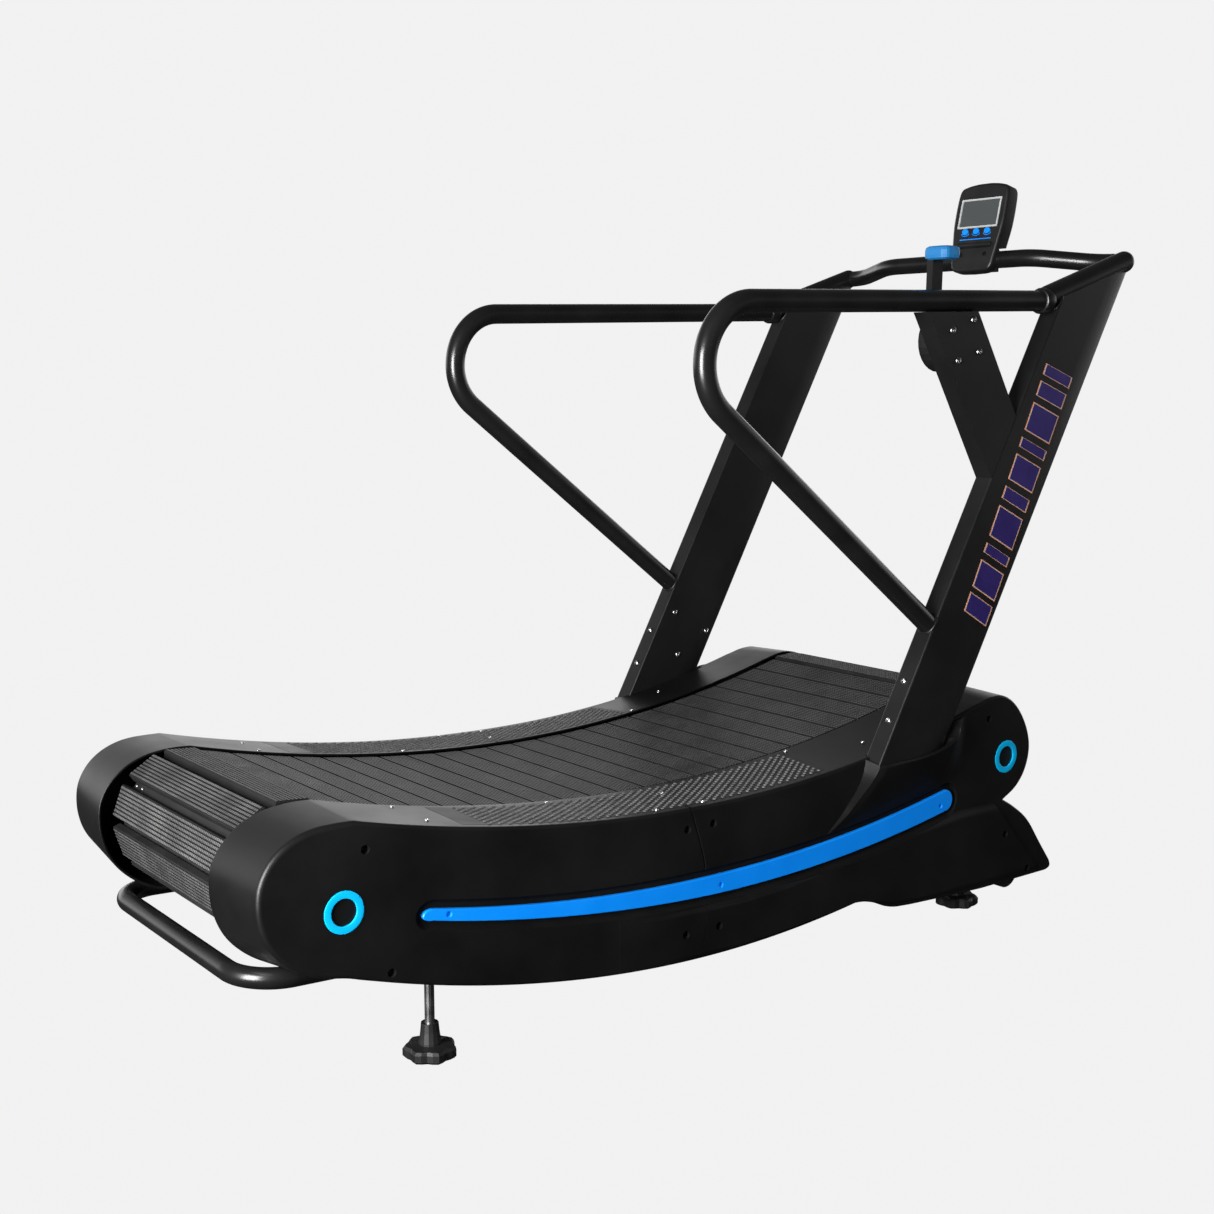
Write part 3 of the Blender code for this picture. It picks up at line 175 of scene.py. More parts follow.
def glass():
    """The unlit display: a smooth dark window over a slightly lighter, finely lined panel."""
    made, nodes, links, shader = shader_of("screen_glass", (0.06, 0.066, 0.066), 0.0, 0.16, 0.5)
    place = nodes.new("ShaderNodeTexCoord").outputs["Object"]
    lines = nodes.new("ShaderNodeTexWave")
    lines.bands_direction = "Y"
    filled(lines, Scale=240)
    links.new(place, lines.inputs["Vector"])
    low, high = (0.055, 0.06, 0.06), (0.075, 0.082, 0.082)
    mix(nodes, links, lines.outputs["Fac"], low, high, shader.inputs["Base Color"])
    smudge = noise(nodes, links, place, 60, 3.0)
    links.new(ramp(nodes, links, smudge, 0.3, 0.7, 0.12, 0.22), shader.inputs["Roughness"])
    return made


GLASS = glass()


# ================================================================ mesh helpers
def ray(degrees):
    return math.cos(math.radians(degrees)), math.sin(math.radians(degrees))


def linked(made):
    bpy.context.scene.collection.objects.link(made)
    return made


def spread(start, end, steps):
    return [start + (end - start) * i / steps for i in range(steps + 1)]


def blend(t):
    """Smooth 0 to 1."""
    t = min(max(t, 0.0), 1.0)
    return t * t * (3 - 2 * t)


def add(name, points, faces, *looks, slots=None, turn_out=True):
    mesh = bpy.data.meshes.new(name)
    mesh.from_pydata([tuple(p) for p in points], [], faces)
    if slots is not None:
        mesh.polygons.foreach_set("material_index", slots)
    if turn_out:
        work = bmesh.new()
        work.from_mesh(mesh)
        bmesh.ops.recalc_face_normals(work, faces=work.faces)
        work.to_mesh(mesh)
        work.free()
    for look in looks:
        mesh.materials.append(look)
    return linked(bpy.data.objects.new(name, mesh))


def loft(name, rings, look, closed=False):
    """Rings of equal point count joined in order; closed joins the last ring to the first."""
    count, rows = len(rings[0]), len(rings)
    points = [p for ring in rings for p in ring]
    faces = []
    if not closed:
        faces += [list(range(count)), list(range(len(points) - count, len(points)))]
    for row in range(rows if closed else rows - 1):
        here, there = row * count, (row + 1) % rows * count
        for i in range(count):
            j = (i + 1) % count
            faces.append([here + i, here + j, there + j, there + i])
    return add(name, points, faces, look)


def prism(name, outline, y0, y1, look):
    return loft(name, [[(x, y, z) for x, z in outline] for y in (y0, y1)], look)


def block(name, x0, x1, z0, z1, y0, y1, look):
    return prism(name, [(x0, z0), (x1, z0), (x1, z1), (x0, z1)], y0, y1, look)


def hoop(centre, across, over, radius, count):
    """Points on a circle in the plane of two unit directions."""
    angles = [2 * math.pi * k / count for k in range(count)]
    return [centre + (across * math.cos(a) + over * math.sin(a)) * radius for a in angles]


def turned(name, base, axis, profile, look, count, closed=False):
    """A piece turned about an axis through base, from (radius, height) pairs along the axis."""
    axis = Vector(axis).normalized()
    across = axis.orthogonal().normalized()
    over = axis.cross(across)
    rings = [hoop(Vector(base) + axis * height, across, over, radius, count) for radius, height in profile]
    return loft(name, rings, look, closed=closed)


def rounded(points, radius, steps):
    """A 3-D path with each inner corner turned into an arc."""
    points = [Vector(p) for p in points]
    path = [points[0]]
    for before, here, after in zip(points, points[1:], points[2:]):
        u, v = (before - here).normalized(), (after - here).normalized()
        half = u.angle(v) / 2
        reach = radius / math.tan(half)
        centre = here + (u + v).normalized() * radius / math.sin(half)
        start, end = here + u * reach - centre, here + v * reach - centre
        axis, sweep = start.cross(end).normalized(), start.angle(end)
        path += [centre + Matrix.Rotation(sweep * k / steps, 3, axis) @ start for k in range(steps + 1)]
    return path + [points[-1]]


def soften(outline, radius, steps=4):
    """An open (x, z) outline with its inner corners rounded as far as their sides allow."""
    made = [tuple(outline[0])]
    for before, here, after in zip(outline, outline[1:], outline[2:]):
        b, h, a = Vector(before), Vector(here), Vector(after)
        u, v = (b - h), (a - h)
        reach = min(radius, u.length * 0.45, v.length * 0.45)
        start, end = h + u.normalized() * reach, h + v.normalized() * reach
        made += [tuple(start.lerp(h, t).lerp(h.lerp(end, t), t)) for t in spread(0, 1, steps)]
    return made + [tuple(outline[-1])]


def tube(name, path, radius, look, count=32, closed=False):
    """A round bar along a path, with its frame carried along so that it doesn't twist."""
    path = [Vector(p) for p in path]
    last, rings, side = len(path) - 1, [], None
    for i, here in enumerate(path):
        before = path[i - 1] if closed or i else here
        after = path[(i + 1) % len(path)] if closed or i < last else here
        ahead = ((here - before).normalized() + (after - here).normalized()).normalized()
        side = side or ahead.orthogonal()
        side = (side - ahead * side.dot(ahead)).normalized()
        up = ahead.cross(side)
        rings.append(hoop(here, side, up, radius, count))
    return loft(name, rings, look, closed=closed)


def inset(outline, depths):
    """A closed outline moved inwards along its corner normals, by one depth or one for each point."""
    if not isinstance(depths, list):
        depths = [depths] * len(outline)
    area = sum(a[0] * b[1] - b[0] * a[1] for a, b in zip(outline, outline[1:] + outline[:1]))
    sign = 1 if area > 0 else -1
    moved = []
    for i, (here, depth) in enumerate(zip(outline, depths)):
        before, after, here = Vector(outline[i - 1]), Vector(outline[(i + 1) % len(outline)]), Vector(here)
        u, v = (here - before).normalized(), (after - here).normalized()
        normal = Vector((-u.y - v.y, u.x + v.x)).normalized() * sign
        moved.append(tuple(here + normal * depth / max(abs(normal.dot(Vector((-u.y, u.x)))), 0.6)))
    return moved


def applied(one, step):
    """Makes what a modifier gives the piece's own mesh."""
    bpy.context.view_layer.update()
    shape = bpy.data.meshes.new_from_object(one.evaluated_get(bpy.context.evaluated_depsgraph_get()))
    one.modifiers.remove(step)
    one.data = shape


def boolean(target, cutters, operation="DIFFERENCE"):
    for cutter in cutters:
        step = target.modifiers.new("step", "BOOLEAN")
        step.object, step.operation, step.solver, step.material_mode = cutter, operation, "EXACT", "TRANSFER"
        applied(target, step)
        bpy.data.objects.remove(cutter)
    return target


def joined(name, pieces):
    """Several objects as one; their meshes are only put together, not merged."""
    work, looks = bmesh.new(), []
    for one in pieces:
        start = len(work.faces)
        work.from_mesh(one.data)
        work.faces.ensure_lookup_table()
        here = [looks.index(m) if m in looks else looks.append(m) or len(looks) - 1 for m in one.data.materials]
        for face in work.faces[start:]:
            face.material_index = here[min(face.material_index, len(here) - 1)]
        bpy.data.objects.remove(one)
    mesh = bpy.data.meshes.new(name)
    work.to_mesh(mesh)
    work.free()
    for look in looks:
        mesh.materials.append(look)
    return linked(bpy.data.objects.new(name, mesh))


def smooth(one, angle=34, weighted=True, bevel=0.0):
    """Smooth shading split at sharp edges, with an optional rounding of the edges first."""
    if bevel:
        edge = one.modifiers.new("edge", "BEVEL")
        edge.width, edge.segments, edge.limit_method = bevel, 3, "ANGLE"
        edge.angle_limit = math.radians(34)
        applied(one, edge)
    one.data.polygons.foreach_set("use_smooth", [True] * len(one.data.polygons))
    one.data.set_sharp_from_angle(angle=math.radians(angle))
    if weighted:
        step = one.modifiers.new("normals", "WEIGHTED_NORMAL")
        step.keep_sharp = True
    return one


def copied(one, name):
    made = one.copy()
    made.data = one.data.copy()
    made.name = name
    return linked(made)


def mirrored(one, name):
    """A copy of a right-side piece on the left."""
    made = copied(one, name)
    made.data.transform(Matrix.Scale(-1, 4, (0, 1, 0)))
    made.data.flip_normals()
    return made


def place(one, body="frame", slot=None, stands_for=()):
    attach(one, body)
    if stands_for:
        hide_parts(*stands_for)
    return one


def both(one, slot=None, nodes=()):
    """Puts a right-side piece NAME_R and its mirror NAME_L on the frame."""
    stem = one.name[:-2]
    other = mirrored(one, f"{stem}_L")
    for tag, piece in (("R", one), ("L", other)):
        place(piece, "frame", slot, [f"{node}_{tag}" for node in nodes])
    return one, other


def screw(name, at, normal, radius, look, height=0.5):
    """A button-head screw with a round socket, standing on a surface."""
    h = radius * height
    profile = [(0.0005, h * 0.35), (radius * 0.42, h * 0.35), (radius * 0.48, h * 0.92), (radius * 0.6, h),
               (radius * 0.82, h * 0.8), (radius * 0.96, h * 0.45), (radius, h * 0.12), (radius, -0.0008)]
    return smooth(turned(name, at, normal, profile, look, 24), 40, False)


def arc_z(x, low_x, low_z, radius):
    return low_z + radius - math.sqrt(radius**2 - (x - low_x) ** 2)


def cover_z(x):
    return arc_z(x, LOW_X, LOW_Z + COVER_LIFT, CURVE_R)


CAMBER = [(-1.1, 0.0), (-0.855, 0.0025), (-0.5, 0.004), (-0.17, 0.006), (0.05, 0.01), (0.25, 0.013),
          (0.61, 0.014), (1.1, 0.014)]  # how much lower a cover's top is at its outer edge


def top_z(x, y):
    """Height of a cover's top, which falls slightly towards its outer edge."""
    (x0, a), (x1, b) = next(pair for pair in zip(CAMBER, CAMBER[1:]) if x <= pair[1][0])
    drop = a + (b - a) * (x - x0) / (x1 - x0)
    return cover_z(x) - drop * (abs(y) - COVER_IN) / (COVER_OUT - COVER_IN)


def flowing(points, steps):
    """A smooth curve through the points, with so many steps between each two."""
    points = [Vector(p) for p in points]
    padded = [points[0] * 2 - points[1]] + points + [points[-1] * 2 - points[-2]]
    made = []
    for a, b, c, d in zip(padded, padded[1:], padded[2:], padded[3:]):
        for k in range(steps):
            t = k / steps
            made.append(tuple((b * 2 + (c - a) * t + (a * 2 - b * 5 + c * 4 - d) * t**2
                               + (b * 3 - a - c * 3 + d) * t**3) / 2))
    return made + [tuple(points[-1])]


# ================================================================ running belt
CURVE = (LOW_X, LOW_Z + CURVE_R)


def belt_path(depth):
    """The closed belt line at a depth below its outer face: centres, radii and angles of four arcs."""
    r = WRAP_R - depth
    rear, front = Vector((REAR_AXIS.x, REAR_AXIS.z)), Vector((FRONT_AXIS.x, FRONT_AXIS.z))
    span, half_way = front - rear, (rear + front) / 2
    reach = math.sqrt((UNDER_R - r) ** 2 - (span.length / 2) ** 2)
    under = half_way + Vector((-span.y, span.x)).normalized() * reach
    top = [math.atan2(p.y - CURVE[1], p.x - CURVE[0]) for p in (rear, front)]
    low = [math.atan2(p.y - under.y, p.x - under.x) for p in (front, rear)]
    return [(Vector(CURVE), CURVE_R + depth, top[0], top[1], -1),
            (front, r, top[1] + math.pi, low[0], 1),
            (under, UNDER_R, low[0], low[1], 1),
            (rear, r, low[1] + 2 * math.pi, top[0] + math.pi, 1)]


def belt_at(distance, arcs):
    """Point and outward direction at a distance along the belt line."""
    lengths = [radius * abs(b - a) for _, radius, a, b, _ in arcs]
    distance %= sum(lengths)
    for (centre, radius, a, b, way), length in zip(arcs, lengths):
        if distance <= length:
            angle = a + (b - a) * distance / length
            outwards = Vector((math.cos(angle), math.sin(angle)))
            return centre + outwards * radius, outwards * way
        distance -= length
    return arcs[0][0], Vector((0, 1))


BELT_PHASE = 0.25  # where the slats stand, as a share of their pitch
RIBS, NUBS = 8, 70  # raised ribs along each slat, and the nubs each is cut into
RIB_HIGH, RIB_TOP, NUB_TOP = 0.0024, 0.0042, 0.005
SLAT_FOOT, SLAT_EASE = 0.006, 0.0012  # height of a slat's lower face, and the chamfer along its edges
RIB_MARGIN, NUB_MARGIN = 0.001, 0.003  # plain strips beside the ribs and at the slats' ends
RIVET_YS, RIVET_OUT, RIVET_R = (-0.212, -0.186, 0.186, 0.212), 0.0052, 0.0034
BAND_OUT, BAND_IN, BAND_EDGE = 0.005, 0.0018, 0.006  # faces and ends of the band that carries the slats


def slat_mesh(half):
    """One slat about its middle: (along, y, out) points, faces, and which faces are nub tops, whose lighter
    worn colour also holds a painted sheen.
    """
    base = SLAT_THICK - RIB_HIGH
    section = [(-half, SLAT_FOOT), (-half, base - SLAT_EASE), (-half + SLAT_EASE, base),
               (half - SLAT_EASE, base), (half, base - SLAT_EASE), (half, SLAT_FOOT)]
    points = [(t, y, n) for y in (-BELT_HALF, BELT_HALF) for t, n in section]
    count = len(section)
    faces = [list(range(count)), list(range(count, 2 * count))[::-1]]
    faces += [[i + count, (i + 1) % count + count, (i + 1) % count, i] for i in range(count)]
    slots = [0] * len(faces)
    pitch_t, pitch_y = (2 * half - 2 * RIB_MARGIN) / RIBS, 2 * (BELT_HALF - NUB_MARGIN) / NUBS
    for i in range(RIBS):
        t = -half + RIB_MARGIN + pitch_t * (i + 0.5)
        for k in range(NUBS):
            y = -BELT_HALF + NUB_MARGIN + pitch_y * (k + 0.5)
            start = len(points)
            for wide, long, n in ((RIB_TOP / 2 + 0.0006, NUB_TOP / 2 + 0.0005, base - 0.0002),
                                  (RIB_TOP / 2, NUB_TOP / 2, SLAT_THICK)):
                points += [(t + a * wide, y + b * long, n) for a, b in ((-1, -1), (1, -1), (1, 1), (-1, 1))]
            faces.append([start + 4, start + 5, start + 6, start + 7])
            for a, b in ((0, 1), (1, 2), (2, 3), (3, 0)):
                faces.append([start + a, start + b, start + 4 + b, start + 4 + a])
            # slot 1 is the nub tops: worn colour with a painted sheen
            slots += [1, 0, 0, 0, 0]
    return np.array(points), faces, slots


def slat_belt():
    arcs = belt_path(SLAT_THICK)
    total = sum(radius * abs(b - a) for _, radius, a, b, _ in arcs)
    count = round(total / SLAT_PITCH)
    pitch = total / count
    groups = {f"slats_{where}": [] for where in ("top_rear", "top_front", "front", "under", "rear")}
    rivets, inner, outer = [], [], []
    for k in [k + BELT_PHASE for k in range(count)]:
        a, b = belt_at(k * pitch, arcs)[0], belt_at((k + 1) * pitch, arcs)[0]
        half_way, _ = belt_at((k + 0.5) * pitch, arcs)
        along = (b - a).normalized()
        up = Vector((-along.y, along.x))
        half = (b - a).length / 2 - SLAT_GAP / 2
        points, faces, slots = slat_mesh(half)
        turn = np.array([[along.x, 0, along.y], [0, 1, 0], [up.x, 0, up.y]])
        world = points @ turn + np.array([half_way.x, 0, half_way.y])
        if up.y > 0.85:
            group = "slats_top_rear" if half_way.x < SEAM_X else "slats_top_front"
        elif up.y < -0.85:
            group = "slats_under"
        else:
            group = "slats_rear" if half_way.x < SEAM_X else "slats_front"
        groups[group].append(world)
        joint, out = belt_at(k * pitch, arcs)
        head = joint + out * RIVET_OUT
        for y in RIVET_YS:
            rivets.append(screw("rivet", (head.x, y, head.y), (out.x, 0, out.y), RIVET_R, STEEL))
        for step in spread(0, 0.75, 3):
            here, out = belt_at((k + step) * pitch, arcs)
            outer.append(here + out * BAND_OUT)
            inner.append(here - out * BAND_IN)
    for name, worlds in groups.items():
        size = len(worlds[0])
        points = np.concatenate(worlds)
        every = [[i + n * size for i in face] for n in range(len(worlds)) for face in faces]
        slats = add(name, points, every, RUBBER, WORN_AND_SHEEN, slots=slots * len(worlds))
        place(slats, "frame", "slat_rubber", ["slat_belt"])
    edge = BELT_HALF - BAND_EDGE
    sides = ((-edge, outer), (edge, outer), (edge, inner), (-edge, inner))
    rings = [[(p.x, y, p.y) for p in line] for y, line in sides]
    band = smooth(loft("belt_carrier", rings, TYRE, closed=True), 40, False)
    place(band, "frame", "slat_rubber", ["slat_belt"])
    place(smooth(joined("belt_rivets", rivets), 40, False), "frame")


slat_belt()


# ================================================================ side covers
BOTTOM_X, BOTTOM_Z, BOTTOM_R = -0.08, 0.064, 2.46
SOCKET = 0.012  # how deep the upright stands in the cover
WEDGE = [(0.3, 0.088), (0.33, 0.08), (0.36, 0.066), (0.39, 0.058), (0.44, 0.054), (0.53, 0.05), (0.66, 0.045),
         (0.885, 0.046), (0.899, 0.052), (0.896, 0.066), (0.861, 0.11), (0.841, 0.136), (0.821, 0.163),
         (0.802, 0.183), (0.78, 0.2), (0.746, 0.222)]
STRIP_X0, STRIP_X1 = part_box("accent_strip_R")[0].x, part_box("accent_strip_R")[1].x
STRIP_LOW_X, STRIP_LOW_Z, STRIP_R = -0.073, 0.2025, 3.1
STRIP_H0, STRIP_H1, STRIP_H2 = 0.02, 0.037, 0.046  # the strip's height at its rear, middle and front
STRIP_ENDS = (0.019, 0.02)  # how long its rear and front round ends are
CHANNEL_EDGE, CHANNEL_DEEP = 0.013, 0.007  # the channel round the strip: how far past it, how deep
EDGE_ROUND, TIP_ROUND, INNER_ROUND = 0.009, 0.004, 0.0016
WALL, BACKING = 0.0045, 0.009  # the cover's edge and its outer face, which takes the channel
ROD_WAY, WHEEL_WAY = 0.022, 0.045  # half widths of the cuts for the feet's rods and the transport wheels
CLEAR, HAIR = 0.0008, 0.0005  # clearance round the upright, and along the seam and the ledges
PAST = 0.46  # anywhere past the covers' outer faces
SLAB = (-0.5, -0.3)  # from and to in y, for cutters right through an upright
SEAM = [(-0.166, 0.372), (-0.16, 0.34), (-0.146, 0.3), (-0.134, 0.262), (-0.129, 0.235), (-0.128, 0.17),
        (-0.127, 0.158), (-0.119, 0.15), (-0.124, 0.128), (-0.134, 0.1), (-0.14, 0.04)]
SIDE_HOLES = [(-0.838, 0.402), (-0.795, 0.188), (-0.174, 0.32), (-0.112, 0.322), (-0.176, 0.12),
              (-0.097, 0.122), (0.66, 0.42), (0.73, 0.156), (0.812, 0.064)]
HOLE_R, HOLE_DEEP = 0.007, 0.009
FRONT_IN = [(0.634, 0.4725), (0.655, 0.4762), (0.675, 0.4768), (0.698, 0.4735), (0.722, 0.465),
            (0.748, 0.448), (0.77, 0.4255), (0.788, 0.398), (0.8, 0.368), (0.8045, 0.338), (0.801, 0.305),
            (0.788, 0.275), (0.768, 0.252), (0.735, 0.233)]  # the front end, beside the belt
FRONT_OUT = [(0.634, 0.459), (0.655, 0.464), (0.675, 0.4665), (0.698, 0.4665), (0.72, 0.46), (0.743, 0.446),
             (0.764, 0.4255), (0.782, 0.4), (0.7955, 0.372), (0.802, 0.343), (0.7985, 0.311), (0.784, 0.279),
             (0.758, 0.253), (0.722, 0.2345)]  # the same at the outer face
REAR_IN = [(-0.845, 0.1795), (-0.873, 0.1815), (-0.902, 0.1835), (-0.932, 0.1895), (-0.962, 0.2045),
           (-0.989, 0.2255), (-1.01, 0.249), (-1.0245, 0.276), (-1.033, 0.306), (-1.0357, 0.337),
           (-1.0325, 0.367), (-1.02, 0.394), (-1.0, 0.417), (-0.975, 0.435), (-0.945, 0.447),
           (-0.915, 0.4525), (-0.885, 0.4545)]
REAR_OUT = [(-0.845, 0.1855), (-0.873, 0.1945), (-0.905, 0.2015), (-0.932, 0.21), (-0.958, 0.2245),
            (-0.985, 0.245), (-1.004, 0.267), (-1.0165, 0.291), (-1.0235, 0.318), (-1.025, 0.345),
            (-1.0215, 0.371), (-1.011, 0.395), (-0.9945, 0.416), (-0.972, 0.433), (-0.944, 0.445),
            (-0.915, 0.4505), (-0.885, 0.4515)]


def cover_outline(y):
    """Side view of a whole cover at y, clockwise from the rear end of its top, and its edge radii."""
    share = (abs(y) - COVER_IN) / (COVER_OUT - EDGE_ROUND - COVER_IN)

    def between(inner, outer):
        return [tuple(Vector(a).lerp(Vector(b), share)) for a, b in zip(inner, outer)]

    top = [(x, top_z(x, y)) for x in spread(-0.855, 0.61, 72)]
    front = flowing([top[-1]] + between(FRONT_IN, FRONT_OUT), 4)[1:]
    belly = [(x, arc_z(x, BOTTOM_X, BOTTOM_Z, BOTTOM_R)) for x in spread(0.275, -0.815, 40)]
    lower = soften([front[-1]] + WEDGE[::-1] + [belly[0]], 0.012, 3)[1:-1]
    rear = flowing([belly[-1]] + between(REAR_IN, REAR_OUT) + [top[0]], 4)[1:-1]
    radii = [EDGE_ROUND * 0.7] * len(top) + [EDGE_ROUND * 0.6] * len(front)
    radii += [TIP_ROUND] * len(lower) + [0.006] * len(belly) + [EDGE_ROUND] * len(rear)
    for _ in range(14):
        radii = [(radii[i - 1] + radii[i] + radii[(i + 1) % len(radii)]) / 3 for i in range(len(radii))]
    return top + front + lower + belly + rear, radii


def strip_outline(grow):
    """The accent strip in side view: an arc that gets taller towards the front, with round ends."""
    upper, lower = [], []
    for x in spread(STRIP_X0 + STRIP_ENDS[0], STRIP_X1 - STRIP_ENDS[1], 60):
        t = (x - STRIP_X0) / (STRIP_X1 - STRIP_X0)
        if t < 0.5:
            high = STRIP_H0 + (STRIP_H1 - STRIP_H0) * t * 2
        else:
            high = STRIP_H1 + (STRIP_H2 - STRIP_H1) * (2 * t - 1)
        z = arc_z(x, STRIP_LOW_X, STRIP_LOW_Z, STRIP_R)
        upper.append((x, z + high / 2 + grow))
        lower.append((x, z - high / 2 - grow))

    def end(top, bottom, longer):
        half_way, half = (Vector(top) + Vector(bottom)) / 2, (Vector(top) - Vector(bottom)) / 2
        push = Vector((half.y, -half.x)) * (0.9 + longer / half.length)
        return [tuple(half_way + half * math.cos(a) + push * math.sin(a)) for a in spread(0, math.pi, 12)[1:-1]]

    return upper + end(upper[-1], lower[-1], 0.0) + lower[::-1] + end(lower[0], upper[0], 0.01)


def strip_rings(steps):
    """The strip's outline, grown and put in front of the cover's face by each (grow, distance)."""
    return [[(x, -(COVER_OUT + y), z) for x, z in strip_outline(grow)] for grow, y in steps]


def raised(name, grid):
    """A closed body from rows of points in front of the cover's face, with a flat back inside its wall."""
    rows, count = len(grid) - 1, len(grid[0])
    front = [p for line in grid for p in line]
    n = len(front)
    faces = []
    for r in range(rows):
        for i in range(count - 1):
            quad = [r * count + i, r * count + i + 1, (r + 1) * count + i + 1, (r + 1) * count + i]
            faces += [quad, [j + n for j in quad[::-1]]]
    rim = list(range(count)) + [r * count + count - 1 for r in range(1, rows + 1)]
    rim += [rows * count + i for i in range(count - 2, -1, -1)] + [r * count for r in range(rows - 1, 0, -1)]
    faces += [[a, b, b + n, a + n] for a, b in zip(rim, rim[1:] + rim[:1])]
    return add(name, front + [(x, -(COVER_OUT - WALL * 0.6), z) for x, _, z in front], faces, COVER)


def resampled(line, count):
    """The same open line with evenly spaced points."""
    line = [Vector(p) for p in line]
    lengths = [0.0]
    for a, b in zip(line, line[1:]):
        lengths.append(lengths[-1] + (b - a).length)
    made = []
    for want in spread(0, lengths[-1], count):
        k = max(i for i in range(len(line) - 1) if lengths[i] <= want + 1e-9)
        made.append(tuple(line[k].lerp(line[k + 1], (want - lengths[k]) / (lengths[k + 1] - lengths[k]))))
    return made


RIM = [(0.294, 0.378), (0.312, 0.378), (0.354, 0.379), (0.412, 0.381), (0.472, 0.389), (0.517, 0.406),
       (0.537, 0.424), (0.56, 0.434), (0.64, 0.446)]  # upper edge of the swelling that takes the upright's foot
CREASE = [(0.18, 0.243), (0.221, 0.2455), (0.306, 0.259), (0.393, 0.273), (0.467, 0.285), (0.513, 0.293),
          (0.559, 0.307), (0.605, 0.324), (0.652, 0.348)]
RIDGE = [(0.294, 0.378), (0.286, 0.357), (0.266, 0.328), (0.244, 0.301), (0.226, 0.28), (0.18, 0.243)]
HORN = [(0.288, 0.385), (0.281, 0.355), (0.265, 0.327), (0.241, 0.3), (0.215, 0.274), (0.176, 0.243)]


def shoulder():
    """The swelling under the upright: a steep facet at the rear, a flat slope down to a crease."""
    deep, columns, rows = BULGE_OUT - COVER_OUT, 60, 44
    rim, crease = resampled(flowing(RIM, 6), columns), resampled(flowing(CREASE, 6), columns)
    ridge, horn = resampled(flowing(RIDGE, 8), rows), resampled(flowing(HORN, 8), rows)
    start, tip = Vector(rim[0]), Vector(crease[0])
    grid = []
    for row in range(rows + 1):
        v = row / rows
        bow = Vector(ridge[row]) - start.lerp(tip, v)
        slope = (1 - v) ** 1.12 * (0.93 + 0.07 * blend(v / 0.03)) + 0.002
        line = [(horn[row][0], -(COVER_OUT + 0.0003), horn[row][1])]
        for i, (top, low) in enumerate(zip(rim, crease)):
            u = i / columns
            at = Vector(top).lerp(Vector(low), v) + bow * (1 - u)
            corner = 0.86 + 0.14 * blend(u / 0.05)
            fade = 1 - 0.985 * blend((at.x - 0.512) / 0.07)
            line.append((at.x, -(COVER_OUT + deep * slope * fade * corner), at.y))
        grid.append(line)
    return raised("shoulder", grid)


def skirt():
    """The lower front stands proud below a ridge that runs from mid-length to the wedge's nose."""
    ridge = [(-0.33, 0.1745), (-0.237, 0.169), (-0.142, 0.1665), (-0.042, 0.166), (0.061, 0.1715),
             (0.169, 0.1855), (0.28, 0.201), (0.396, 0.218), (0.486, 0.228), (0.58, 0.234), (0.69, 0.232)]
    floor_line = [(-0.33, 0.08), (-0.237, 0.0725), (-0.142, 0.069), (-0.042, 0.069), (0.061, 0.0735),
                  (0.169, 0.083), (0.29, 0.094), (0.38, 0.068), (0.486, 0.058), (0.64, 0.052), (0.855, 0.052)]
    columns, rows = 56, 44
    top, low = resampled(ridge, columns), resampled(floor_line, columns)
    grid = []
    for v in [row / rows for row in range(rows + 1)]:
        line = []
        for i, (t, b) in enumerate(zip(top, low)):
            u = i / columns
            proud = 0.01 * blend(u / 0.45) * (1 - 0.75 * blend((u - 0.62) / 0.38))
            proud = proud * blend(v / 0.1) * (1 - blend((v - 0.93) / 0.07)) + 0.0003
            line.append((t[0] + (b[0] - t[0]) * v, -(COVER_OUT + proud), t[1] + (b[1] - t[1]) * v))
        grid.append(line)
    return raised("skirt", grid)


def below_rim():
    """What lies under the swelling's rim, less the depth of the upright's socket."""
    line = [(x, z - SOCKET) for x, z in RIM[1:]]
    return [(0.1, line[0][1])] + line + [(1.2, line[-1][1]), (1.2, 0.1), (0.1, 0.1)]


def upright_way(grow):
    low, high = 0.285 - grow, 1.46
    rear = [UP_X + UP_LEAN * z - grow for z in (low, high)]
    front = [UP_X + UP_DEEP + UP_LEAN * z + grow for z in (low, high)]
    return [(rear[0], low), (front[0], low), (front[1], high), (rear[1], high)]


def lift_path():
    """Middle line of the lift handle, from its left leg round to its right one."""
    left = [(-0.7122, 0.29, 0.174), (-0.76, 0.29, 0.174), (-0.997, 0.29, 0.183)]
    return rounded(left + [(x, -y, z) for x, y, z in left[::-1]], LIFT_BEND, 20)


def cover_shell():
    """Both halves of the right cover in one: a hollow body, open to the belt, with its raised areas."""
    def ring(y, depth):
        outline, _ = cover_outline(min(y, COVER_OUT - EDGE_ROUND))
        return [(x, -y, z) for x, z in inset(outline, depth)]

    outline, radii = cover_outline(COVER_OUT - EDGE_ROUND)
    back = COVER_OUT - BACKING
    rings = [ring(back, 0.012), ring(back - 0.01, WALL), ring(COVER_IN + INNER_ROUND, WALL)]
    for c, s in map(ray, spread(90, 0, 3)):
        rings.append(ring(COVER_IN + INNER_ROUND * (1 - s), INNER_ROUND * (1 - c)))
    for c, s in map(ray, spread(0, 90, 7)):
        flat = inset(outline, [r * (1 - c) for r in radii])
        rings.append([(x, -(COVER_OUT - r * (1 - s)), z) for (x, z), r in zip(flat, radii)])
    return boolean(loft("front_cover_skin_R", rings, COVER), [shoulder(), skirt()], "UNION")


